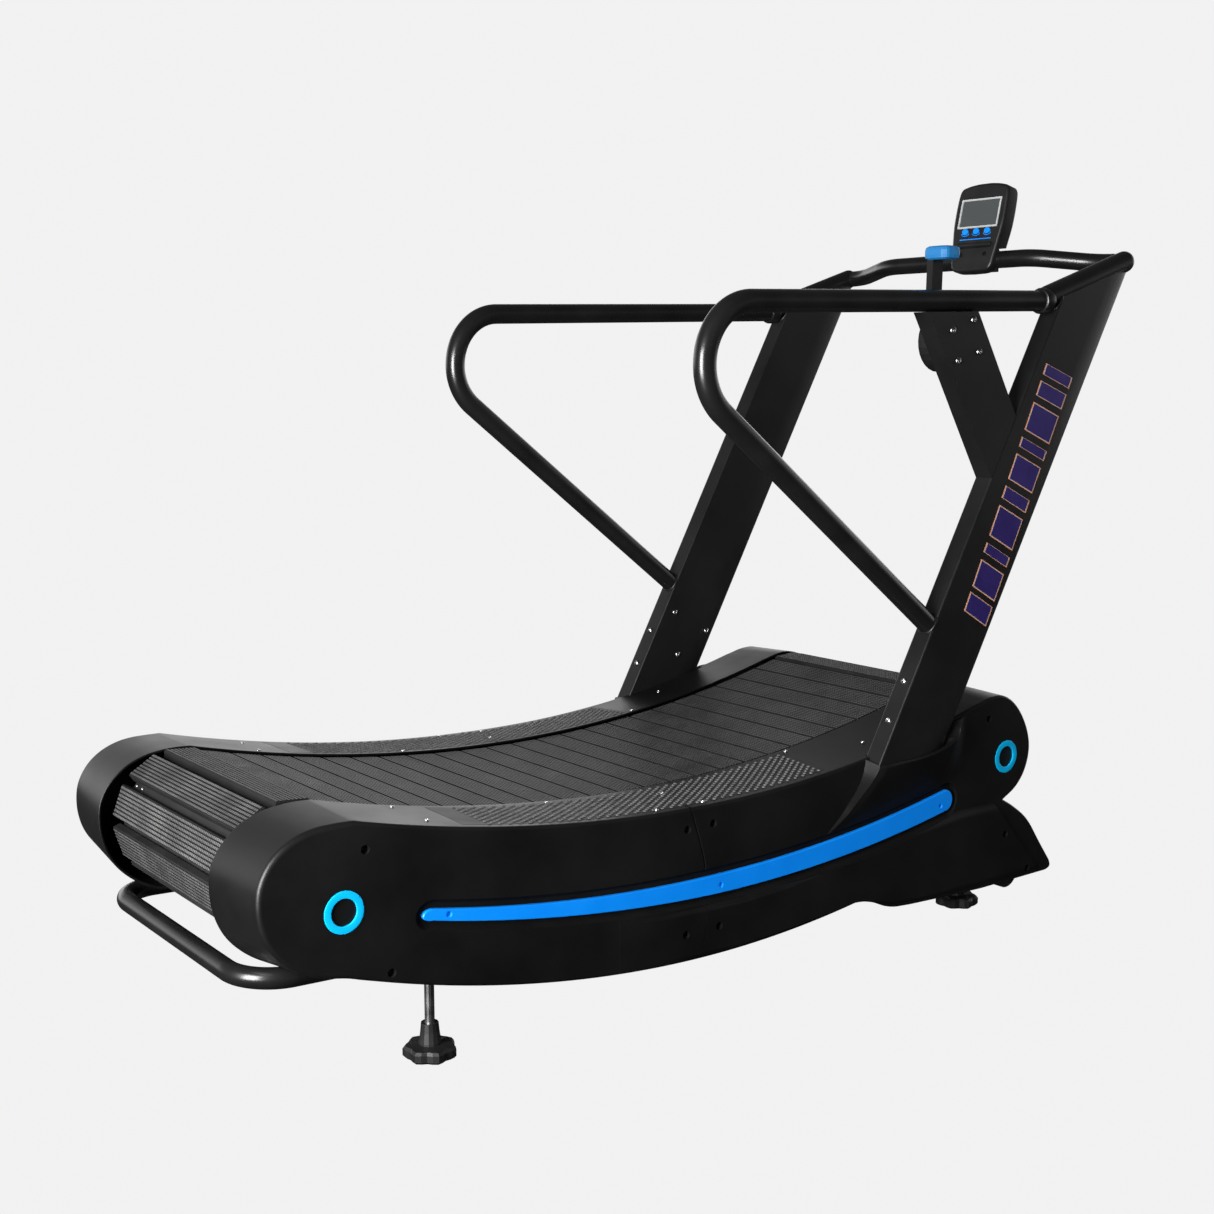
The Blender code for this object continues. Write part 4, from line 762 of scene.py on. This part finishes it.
def cover_cutters():
    """What is cut from the cover: channel, sockets, ways for feet and wheel, recesses, bolt holes, seam."""
    steps = ((CHANNEL_EDGE - 0.004, -CHANNEL_DEEP), (CHANNEL_EDGE - 0.0015, -CHANNEL_DEEP * 0.8),
             (CHANNEL_EDGE + 0.001, -CHANNEL_DEEP * 0.25), (CHANNEL_EDGE + 0.0032, 0.0001),
             (CHANNEL_EDGE + 0.0032, 0.05))
    cutters = [loft("channel", strip_rings(steps), CAVITY)]
    way = prism("upright_way", upright_way(CLEAR), -(UP_IN - CLEAR), -(UP_OUT + CLEAR), COVER)
    cutters.append(boolean(way, [prism("below", below_rim(), *SLAB, COVER)]))
    for where in ("rear", "front"):
        at, r = middle(f"{where}_ring_R"), width(f"{where}_ring_R").x / 2
        profile = [(r + 0.0006, COVER_OUT - 0.0025), (r + 0.0006, COVER_OUT - 0.0008),
                   (r + 0.0016, COVER_OUT + 0.0001), (r + 0.0016, PAST)]
        cutters.append(turned("seat", (at.x, 0, at.z), (0, -1, 0), profile, COVER, 64))
        at = middle(f"{where}_foot_rod_R")
        (x0, y0), (x1, y1) = (at.x - ROD_WAY, at.y - ROD_WAY), (at.x + ROD_WAY, at.y + ROD_WAY)
        cutters.append(block("rod_way", x0, x1, 0.0, 0.14, y0, y1, COVER))
    wheel = middle("transport_wheel_R")
    x0, x1 = wheel.x - WHEEL_WAY, wheel.x + WHEEL_WAY
    cutters.append(block("wheel_way", x0, x1, 0.0, 0.115, wheel.y - 0.024, -0.255, COVER))
    for half in ("rear", "front"):
        low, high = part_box(f"{half}_ledge_R")
        xs = spread(low.x - HAIR, high.x + HAIR, 30)
        recess = [[(x, y, cover_z(x) + 0.05) for x in xs] + [(x, y, top_z(x, y) - 0.004) for x in xs[::-1]]
                  for y in (-(LEDGE_IN - HAIR), -(LEDGE_OUT + HAIR))]
        cutters.append(loft("recess", recess, COVER))
    for x, z in SIDE_HOLES:
        profile = [(HOLE_R, COVER_OUT - HOLE_DEEP), (HOLE_R, COVER_OUT - 0.001),
                   (HOLE_R + 0.001, COVER_OUT + 0.0001), (HOLE_R + 0.001, PAST)]
        cutters.append(turned("hole", (x, 0, z), (0, -1, 0), profile, CAVITY, 28))
    ends = ((COVER_IN, 0.02), (COVER_OUT, 0.006))
    groove = [(SEAM[0][0], -(y - inwards), top_z(SEAM_X, y) + HAIR) for y, inwards in ends]
    groove += [(x, -(COVER_OUT + 0.0006), z) for x, z in [(SEAM[0][0], 0.355)] + SEAM[1:6]]
    cutters.append(tube("groove", groove, 0.0022, COVER, 10))
    cutters.append(tube("lift_way", lift_path(), LIFT_R + 0.0012, COVER, 24))
    return cutters


def side_covers():
    shell = boolean(cover_shell(), cover_cutters())
    rear = copied(shell, "rear_cover_skin_R")
    for one, way, edge in ((rear, -1.3, -HAIR), (shell, 1.3, HAIR)):
        line = [(SEAM[0][0] + edge, 0.9)] + [(x + edge, z) for x, z in SEAM] + [(SEAM[-1][0] + edge, -0.2)]
        half = line + [(way, -0.2), (way, 0.9)]
        boolean(one, [prism("half", half, -0.6, -0.1, COVER)], "INTERSECT")
        smooth(one, 30)
    both(rear, "cover_plastic", ["rear_cover"])
    both(shell, "cover_plastic", ["front_cover"])
    cups = []
    for x, z in SIDE_HOLES:
        profile = [(0.0005, 0.0), (HOLE_R + 0.001, 0.0), (HOLE_R + 0.001, 0.0012), (HOLE_R - 0.0005, 0.0012),
                   (HOLE_R - 0.0012, 0.0022), (0.003, 0.004), (0.0026, 0.0025), (0.0005, 0.0025)]
        cups.append(turned("cup", (x, -(COVER_OUT - HOLE_DEEP - 0.0008), z), (0, -1, 0), profile, CAVITY, 24))
    both(smooth(joined("cover_bolts_R", cups), 40, False))


side_covers()

LEDGE_THICK, LEDGE_EASE = 0.0036, 0.0008


def ledges():
    for half in ("rear", "front"):
        low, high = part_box(f"{half}_ledge_R")
        rings = []
        for y, drop in ((-LEDGE_OUT, LEDGE_THICK), (-LEDGE_OUT, LEDGE_EASE), (-LEDGE_OUT + LEDGE_EASE, 0.0),
                        (-LEDGE_IN - LEDGE_EASE, 0.0), (-LEDGE_IN, LEDGE_EASE), (-LEDGE_IN, LEDGE_THICK)):
            rings.append([(x, y, top_z(x, y) + 0.0003 - drop) for x in spread(low.x, high.x, 60)])
        top = list(zip(*rings))
        plate = smooth(loft(f"{half}_ledge_plate_R", top, LEDGE), 50)
        both(plate, "ledge_plastic", [f"{half}_ledge"])


ledges()

PATCH_X0, PATCH_X1, NUB_ROW, NUB_STEP, NUB_R, NUB_HIGH = -0.59, 0.184, 0.0104, 0.0144, 0.0038, 0.0022


def grip_nubs():
    """Staggered rows of small domes on the foot ledges."""
    points, faces = [], []
    sides = 8
    rows = int((PATCH_X1 - PATCH_X0) / NUB_ROW)
    for row in range(rows + 1):
        x = PATCH_X0 + row * NUB_ROW
        slope = (x - LOW_X) / CURVE_R
        count = 9 - row % 2
        for k in range(count):
            y = -(LEDGE_IN + LEDGE_OUT) / 2 + (k - (count - 1) / 2) * NUB_STEP * 0.98
            if abs(x - SEAM_X) < 0.0042:
                continue
            start, base = len(points), top_z(x, y) + 0.0001
            for radius, high in ((NUB_R, 0.0), (NUB_R * 0.86, NUB_HIGH * 0.62), (NUB_R * 0.45, NUB_HIGH)):
                for j in range(sides):
                    a = 2 * math.pi * j / sides
                    dx = radius * math.cos(a)
                    points.append((x + dx - slope * high, y + radius * math.sin(a), base + high + slope * dx))
            faces.append([start + 2 * sides + j for j in range(sides)])
            faces.append([start + j for j in range(sides)][::-1])
            for ring in range(2):
                for j in range(sides):
                    a, b = start + ring * sides + j, start + ring * sides + (j + 1) % sides
                    faces.append([a, b, b + sides, a + sides])
    both(smooth(add("ledge_nubs_R", points, faces, NUB, turn_out=False), 50, False), "ledge_plastic")


grip_nubs()

LEDGE_SCREWS = [(-0.71, -0.255), (-0.7, -0.35), (-0.391, -0.253), (-0.232, -0.372), (-0.152, -0.291),
                (-0.122, -0.372), (0.205, -0.25), (0.346, -0.327)]


def ledge_screws():
    screws = []
    for x, y in LEDGE_SCREWS:
        up = (-(x - LOW_X) / CURVE_R, 0, 1)
        screws.append(screw("s", (x, y, top_z(x, y) + 0.0006), up, 0.0042, STEEL, 0.4))
    both(joined("ledge_screws_R", screws))


ledge_screws()

STRIP_SCREWS = ((-0.686, 0.265), (-0.091, 0.2), (0.516, 0.253))


def accent_strip():
    steps = ((0.0, -CHANNEL_DEEP + 0.0003), (0.0, -0.0008), (-0.001, 0.0006), (-0.0024, 0.001))
    strip = loft("accent_strip_skin_R", strip_rings(steps), BLUE)
    holes = []
    for x, z in STRIP_SCREWS:
        profile = [(0.0042, COVER_OUT - 0.004), (0.0042, COVER_OUT - 0.0004), (0.006, COVER_OUT + 0.0011),
                   (0.006, PAST)]
        holes.append(turned("hole", (x, 0, z), (0, -1, 0), profile, BLUE, 24))
    both(smooth(boolean(strip, holes), 30), "accent_blue", ["accent_strip"])


accent_strip()

RING_HOLE, RING_EASE, RING_FACE, RING_SUNK = 0.0228, 0.0012, 0.0014, -0.0018


def blue_rings():
    for where in ("rear", "front"):
        at, r, hole, side = middle(f"{where}_ring_R"), width(f"{where}_ring_R").x / 2, RING_HOLE, 0.0004
        profile = [(hole, RING_SUNK), (hole, side), (hole + RING_EASE, RING_FACE), (r - RING_EASE, RING_FACE),
                   (r, side), (r, RING_SUNK)]
        base = (at.x, -COVER_OUT, at.z)
        ring = turned(f"{where}_ring_skin_R", base, (0, -1, 0), profile, RING, 64, closed=True)
        both(smooth(ring, 50), "ring_blue", [f"{where}_ring"])


blue_rings()


# ================================================================ uprights, handrails, crossbar
CAP_R, CAP_REAR, CAP_FRONT = 0.0225, (0.765, 1.292), (1.013, 1.3705)
NOSE = 0.075  # how far the front of an upright's section tapers to a round nose
NOSE_X = 1.0355  # where the tip of an upright is cut off
RAIL_TOP, RAIL_CORNER, RAIL_FOOT = (0.7424, 1.2828), (-0.3613, 1.2526), (0.442, 0.6446)
RAIL_MIDDLE, RAIL_R = abs(middle("handrail_R").y), width("handrail_R").y / 2
BAR_R = 0.0188


def section(z):
    """Cross-section of the right upright at height z: flat rear face, long rounded nose."""
    rear, front = UP_X + UP_LEAN * z, UP_X + UP_DEEP + UP_LEAN * z
    y0, y1 = -UP_OUT, -UP_IN
    half_way, half, ease = (y0 + y1) / 2, (y1 - y0) / 2, 0.0045
    ring = []
    for corner, start in (((rear + ease, y0 + ease), 270), ((rear + ease, y1 - ease), 180)):
        turns = map(ray, spread(start, start - 90, 5))
        ring += [(corner[0] + ease * c, corner[1] + ease * s) for c, s in turns]
    ring += [(front - NOSE + NOSE * c, half_way + half * s) for c, s in map(ray, spread(90, -90, 28))]
    return [(x, y, z) for x, y in ring]


def rounded_bar(name, start, end, radius, look):
    """A round bar with half-ball ends."""
    ahead, side = (end - start).normalized(), Vector((0, 1, 0))
    rings = []
    for centre, angles in ((start, spread(-84, 0, 8)), (end, spread(0, 84, 8))):
        for c, s in map(ray, angles):
            rings.append(hoop(centre + ahead * radius * s, side, ahead.cross(side), radius * c, 36))
    return loft(name, rings, look)


def uprights():
    slope = (CAP_FRONT[1] - CAP_REAR[1]) / (CAP_FRONT[0] - CAP_REAR[0])
    body = loft("upright_skin_R", [section(z) for z in spread(0.285, 1.47, 3)], PAINT)
    above = [(x, CAP_REAR[1] + slope * (x - CAP_REAR[0])) for x in (0.6, 1.12)] + [(1.12, 1.6), (0.6, 1.6)]
    boolean(body, [prism("above", above, *SLAB, PAINT), block("nose", NOSE_X, 1.2, 1.3, 1.6, *SLAB, PAINT),
                   prism("below", below_rim(), *SLAB, PAINT)])
    rear, tip = [Vector((x, -RAIL_MIDDLE, z)) for x, z in (CAP_REAR, CAP_FRONT)]
    boolean(body, [rounded_bar("cap", rear, tip, CAP_R, PAINT)], "UNION")
    both(smooth(body, 32), "upright_paint", ["upright"])


uprights()


def handrails():
    path = rounded([(x, -RAIL_MIDDLE, z) for x, z in (RAIL_TOP, RAIL_CORNER, RAIL_FOOT)], RAIL_BEND, 40)
    rail = tube("handrail_skin_R", path, RAIL_R, TUBE, 40)
    boolean(rail, [prism("face", upright_way(0.0003), *SLAB, TUBE)])
    both(smooth(rail, 40), "tube_paint", ["handrail"])
    for name, (x, z) in (("handrail_weld_top_R", RAIL_TOP), ("handrail_weld_foot_R", RAIL_FOOT)):
        ahead = Vector((x - RAIL_CORNER[0], 0, z - RAIL_CORNER[1])).normalized()
        side = Vector((0, 1, 0))
        loop = []
        for p in hoop(Vector((x, -RAIL_MIDDLE, z)), side, ahead.cross(side), RAIL_R + 0.0006, 48):
            gap = UP_X + UP_LEAN * p.z - p.x
            loop.append(p + ahead * gap / (ahead.x - UP_LEAN * ahead.z))
        both(smooth(tube(name, loop, 0.0026, PAINT, 10, closed=True), 60, False), "upright_paint")
    back = Vector((RAIL_CORNER[0] - RAIL_TOP[0], 0, RAIL_CORNER[1] - RAIL_TOP[1])).normalized()
    profile = [(0.018, -0.02), (0.0245, -0.02), (0.0262, -0.012), (0.0262, 0.0), (0.0245, 0.0045),
               (0.0222, 0.0055), (0.018, 0.0055)]
    collar = turned("cap_collar_R", (RAIL_TOP[0], -RAIL_MIDDLE, RAIL_TOP[1]), back, profile, TUBE, 48)
    both(smooth(collar, 40), "upright_paint")


handrails()


def crossbar():
    half = [Vector(p) for p in ((1.01, 0.3784, 1.3705), (1.01, 0.344, 1.3712), (0.95, 0.21, 1.388))]
    path = half + [Vector((p.x, -p.y, p.z)) for p in half[::-1]]
    bar = tube("crossbar_skin", rounded(path, BAR_BEND, 16), BAR_R, TUBE, 36)
    place(smooth(bar, 40), "frame", "tube_paint", ["crossbar"])


crossbar()

REAR_SCREWS, INNER_SCREWS = (0.535, 0.46), ((0.438, 0.576), (0.538, 0.522), (0.448, 0.473))
BRACE_BOLTS = [(0.515, 1.24), (0.456, 1.219), (0.536, 1.179), (0.475, 1.161)]


def upright_screws():
    back, y = Vector((-1, 0, UP_LEAN)).normalized(), -(UP_IN + UP_OUT) / 2
    screws = [screw("s", (UP_X + UP_LEAN * z, y, z), back, 0.0066, STEEL) for z in REAR_SCREWS]
    screws += [screw("s", (x, -UP_IN, z), (0, 1, 0), 0.0068, STEEL) for x, z in INNER_SCREWS]
    both(joined("upright_screws_R", screws))
    bolts = [screw("s", (x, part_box("brace")[0].y, z), (0, -1, 0), 0.0075, STEEL) for x, z in BRACE_BOLTS]
    place(joined("brace_bolts", bolts), "frame")


upright_screws()

# corners of the patch on the outer face, and where its bars start and end along it
DECAL = [(0.594, 0.631), (0.524, 0.652), (0.743, 1.141), (0.83, 1.129)]
DECAL_BARS = [(0.0, 0.07), (0.1, 0.2), (0.235, 0.27), (0.305, 0.42), (0.455, 0.5), (0.535, 0.63),
              (0.665, 0.7), (0.735, 0.84), (0.875, 0.93), (0.96, 1.0)]


def decals():
    """Slanting violet bars with orange edges up each upright's outer face."""
    low_front, low_rear, top_rear, top_front = [Vector(p) for p in DECAL]
    pieces = []
    for start, end in DECAL_BARS:
        for look, grow, proud in ((ORANGE, 0.0044, 0.00025), (BEZEL, 0.002, 0.0004), (PURPLE, 0.0, 0.00055)):
            corners = [low_rear.lerp(top_rear, start + 0.03), low_front.lerp(top_front, start),
                       low_front.lerp(top_front, end), low_rear.lerp(top_rear, end + 0.03)]
            heart = sum(corners, Vector((0, 0))) / 4
            outline = [tuple(c + (c - heart).normalized() * grow) for c in corners]
            pieces.append(prism("bar", outline, -(UP_OUT - 0.0006), -(UP_OUT + proud), look))
    both(joined("upright_decal_R", pieces))


decals()


# ================================================================ lift handle
def lift_handle():
    bar = tube("lift_handle_skin", lift_path(), LIFT_R, TUBE, 36)
    place(smooth(bar, 40), "frame", "tube_paint", ["lift_handle"])


lift_handle()


# ================================================================ console
CON_FOOT, CON_HEAD, CON_Y, CON_DEEP = Vector((0.914, 1.362)), Vector((0.956, 1.56)), -0.068, 0.04
CON_SHAPE = [(0.0, 0.0), (0.04, 0.002), (0.056, 0.011), (0.061, 0.035), (0.066, 0.07), (0.071, 0.11),
             (0.071, 0.16), (0.066, 0.188), (0.048, 0.1965), (0.02, 0.2005), (0.0, 0.201)]  # (half width, rise)


BUTTON_RISE, BUTTON_WAY, BUTTON_FLAT = 0.092, 0.0092, 0.8  # rise, half width and flatness of the buttons' holes
MARK_ARCS = ((0.0128, spread(205, 335, 10)), (0.0112, spread(335, 205, 10)))  # printed below each button
SCREEN_LOW, SCREEN_HIGH = 0.0996, 0.1664
STEP = ((0.052, 0.002), (0.058, -0.005), (0.064, -0.005), (0.068, 0.002))  # (rise, sink) of the moulded step


def console():
    """The console's shell: arched top, tapered foot, seats for the screen and buttons, marks and screws."""
    up = (CON_HEAD - CON_FOOT).normalized()
    out = Vector((up.y, -up.x))

    def at(rise, sink, y=0.0):
        p = CON_FOOT + up * rise + out * sink
        return Vector((p.x, CON_Y + y, p.y))

    right = flowing(CON_SHAPE, 5)
    outline = right[:-1] + [(-y, rise) for y, rise in right[:0:-1]]
    rings = []
    for sink, depth in ((0.0, 0.007), (0.0006, 0.004), (0.0028, 0.0012), (0.006, 0.0), (0.033, 0.0005),
                        (0.0375, 0.0025), (CON_DEEP, 0.007)):
        rings.append([at(rise, sink, y) for y, rise in inset(outline, depth)])
    shell = loft("console_skin", rings, SHELL)

    def slab(name, y0, y1, low, high, sink, proud, look):
        return loft(name, [[at(low, depth, y0), at(low, depth, y1), at(high, depth, y1), at(high, depth, y0)]
                           for depth in (sink, -proud)], look)

    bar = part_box("console_clamp")
    frame_y = width("screen_frame").y / 2 + 0.0004
    cutters = [block("clamp_way", bar[0].x - 0.0008, 1.2, 0.0, bar[1].z + 0.0008, -0.3, 0.3, SHELL),
               slab("seat", -frame_y, frame_y, SCREEN_LOW, SCREEN_HIGH, 0.0064, 0.05, SHELL)]
    marks = []
    for tag in ("L", "M", "R"):
        button = middle(f"button_{tag}")
        y, rise = button.y - CON_Y, BUTTON_RISE
        hole = [[at(rise + BUTTON_FLAT * BUTTON_WAY * math.sin(a), depth, y + BUTTON_WAY * math.cos(a))
                 for a in spread(0, 2 * math.pi, 24)[:-1]] for depth in (0.0066, -0.05)]
        cutters.append(loft("button_way", hole, SHELL))
        arc = [(y + r * c, rise + BUTTON_FLAT * r * s) for r, angles in MARK_ARCS for c, s in map(ray, angles)]
        marks.append(loft("mark", [[at(z, depth, x) for x, z in arc] for depth in (0.001, -0.0004)], BLUE))
    boolean(shell, cutters)
    place(smooth(shell, 34), "frame", "cover_plastic", ["console_housing"])
    marks.append(slab("line", -0.044, 0.044, 0.0735, 0.0755, 0.001, 0.0004, BLUE))
    place(joined("console_marks", marks), "frame")
    step = [[at(rise, sink, y) for rise, sink in STEP] for y in (-0.048, 0.048)]
    place(smooth(loft("console_step", step, SHELL), 30, bevel=0.0012), "frame")
    face = Vector((-out.x, 0, -out.y))
    screws = [screw("s", at(0.04, 0.0002, y), face, 0.0048, CAVITY) for y in (-0.034, 0.034)]
    place(joined("console_screws", screws), "frame")


console()


# ================================================================ CAD nodes that stay
KEPT = {"side_frame": PAINT, "cross_member": PAINT, "bearing_rail": ROD, "axle": STEEL, "drum": ALLOY,
        "bearing": IRON, "brake_disc": STEEL, "magnet_yoke": IRON, "lever_cable": KNOB, "console_clamp": SHELL,
        "brace": PAINT, "lever_arm": PAINT, "lever_housing": KNOB, "lever_grip": AZURE,
        "screen_frame": BEZEL, "screen": GLASS, "button": BLUE, "foot_rod": ROD, "foot_knob": KNOB,
        "transport_wheel": TYRE}


def dress_kept_nodes():
    for name, node in frame["nodes"].items():
        if not node.hide_render:
            look = next((KEPT[key] for key in sorted(KEPT, key=len, reverse=True) if key in name), PAINT)
            node.data.materials.clear()
            node.data.materials.append(look)
            smooth(node, 32, False)


dress_kept_nodes()


# ================================================================ stage: floor, light, camera
PALE = (0.885, 0.885, 0.885, 1)  # the floor and backdrop as the camera sees them
CAMERA_AT = Vector((-2.01155, -2.53076, 1.13326))
CAMERA_YAW, CAMERA_PITCH, CAMERA_ROLL = math.radians(36.776), math.radians(-10.941), math.radians(0.097)


def floor():
    made, nodes, links, _ = shader_of("stage_floor", (0.86, 0.86, 0.86))
    glow = filled(nodes.new("ShaderNodeEmission"), Color=PALE)
    links.new(glow.outputs["Emission"], nodes["Material Output"].inputs["Surface"])
    edge = 60
    corners = [(-edge, -edge, 0), (edge, -edge, 0), (edge, edge, 0), (-edge, edge, 0)]
    plane = add("floor", corners, [[0, 1, 2, 3]], made)
    plane.visible_glossy = False
    plane.visible_diffuse = False


def world():
    """Bright backdrop for the lens; its light comes from a pale band behind the machine, dark elsewhere."""
    made = bpy.data.worlds.new("studio")
    bpy.context.scene.world = made
    made.use_nodes = True
    nodes, links = made.node_tree.nodes, made.node_tree.links
    ambient = nodes["Background"]
    backdrop = filled(nodes.new("ShaderNodeBackground"), Color=PALE)
    way = nodes.new("ShaderNodeTexCoord").outputs["Generated"]
    parts = nodes.new("ShaderNodeSeparateXYZ")
    links.new(way, parts.inputs["Vector"])
    band = nodes.new("ShaderNodeValToRGB")
    stops = band.color_ramp.elements
    stops[0].position, stops[0].color = 0.0, (0.02, 0.02, 0.02, 1)
    stops[1].position, stops[1].color = 1.0, (0.05, 0.05, 0.05, 1)
    for place_at, level in ((0.46, 0.03), (0.49, 1.1), (0.53, 1.6), (0.6, 1.3), (0.68, 0.35), (0.76, 0.06)):
        stop = stops.new(place_at)
        stop.color = (level, level, level, 1)
    links.new(ramp(nodes, links, parts.outputs["Z"], -1.0, 1.0, 0.0, 1.0), band.inputs["Fac"])
    behind = nodes.new("ShaderNodeVectorMath")
    behind.operation = "DOT_PRODUCT"
    behind.inputs[1].default_value = (math.sin(CAMERA_YAW), math.cos(CAMERA_YAW), 0.0)
    links.new(way, behind.inputs[0])
    share = nodes.new("ShaderNodeMath")
    share.operation = "MULTIPLY"
    links.new(ramp(nodes, links, behind.outputs["Value"], 0.0, 0.6, 0.05, 1.4), share.inputs[0])
    links.new(band.outputs["Color"], share.inputs[1])
    links.new(share.outputs["Value"], ambient.inputs["Strength"])
    filled(ambient, Color=(1, 1, 1, 1))
    seen = nodes.new("ShaderNodeLightPath").outputs["Is Camera Ray"]
    mixed = nodes.new("ShaderNodeMixShader")
    links.new(seen, mixed.inputs["Fac"])
    links.new(ambient.outputs["Background"], mixed.inputs[1])
    links.new(backdrop.outputs["Background"], mixed.inputs[2])
    links.new(mixed.outputs["Shader"], nodes["World Output"].inputs["Surface"])


def softbox(name, centre, target, wide, high, radiance):
    data = bpy.data.lights.new(name, "AREA")
    data.shape, data.size, data.size_y = "RECTANGLE", wide, high
    data.energy = radiance * wide * high * math.pi
    made = bpy.data.objects.new(name, data)
    made.location = centre
    made.rotation_mode = "QUATERNION"
    made.rotation_quaternion = (Vector(target) - Vector(centre)).to_track_quat("-Z", "Y")
    return linked(made)


def camera():
    data = bpy.data.cameras.new("camera")
    data.lens, data.sensor_width = 47.51, 36.0
    data.shift_x, data.shift_y = 0.0199, 0.0639
    data.clip_start, data.clip_end = 0.05, 200
    made = bpy.data.objects.new("camera", data)
    level = math.cos(CAMERA_PITCH)
    ahead = Vector((math.sin(CAMERA_YAW) * level, math.cos(CAMERA_YAW) * level, math.sin(CAMERA_PITCH)))
    right = Vector((math.cos(CAMERA_YAW), -math.sin(CAMERA_YAW), 0))
    up = right.cross(ahead)
    rolled = right * math.cos(CAMERA_ROLL) + up * math.sin(CAMERA_ROLL)
    upper = up * math.cos(CAMERA_ROLL) - right * math.sin(CAMERA_ROLL)
    made.matrix_world = Matrix((rolled, upper, -ahead)).transposed().to_4x4()
    made.location = CAMERA_AT
    bpy.context.scene.camera = linked(made)


floor()
world()
softbox("key", (-3.3, -1.25, 1.15), (0.0, -0.1, 0.7), 1.3, 1.9, 36.0)
softbox("fill", (-0.8, -3.6, 2.6), (0.0, 0.0, 0.4), 1.5, 1.5, 8.0).visible_glossy = False
camera()
bpy.context.scene.view_settings.view_transform = "Standard"
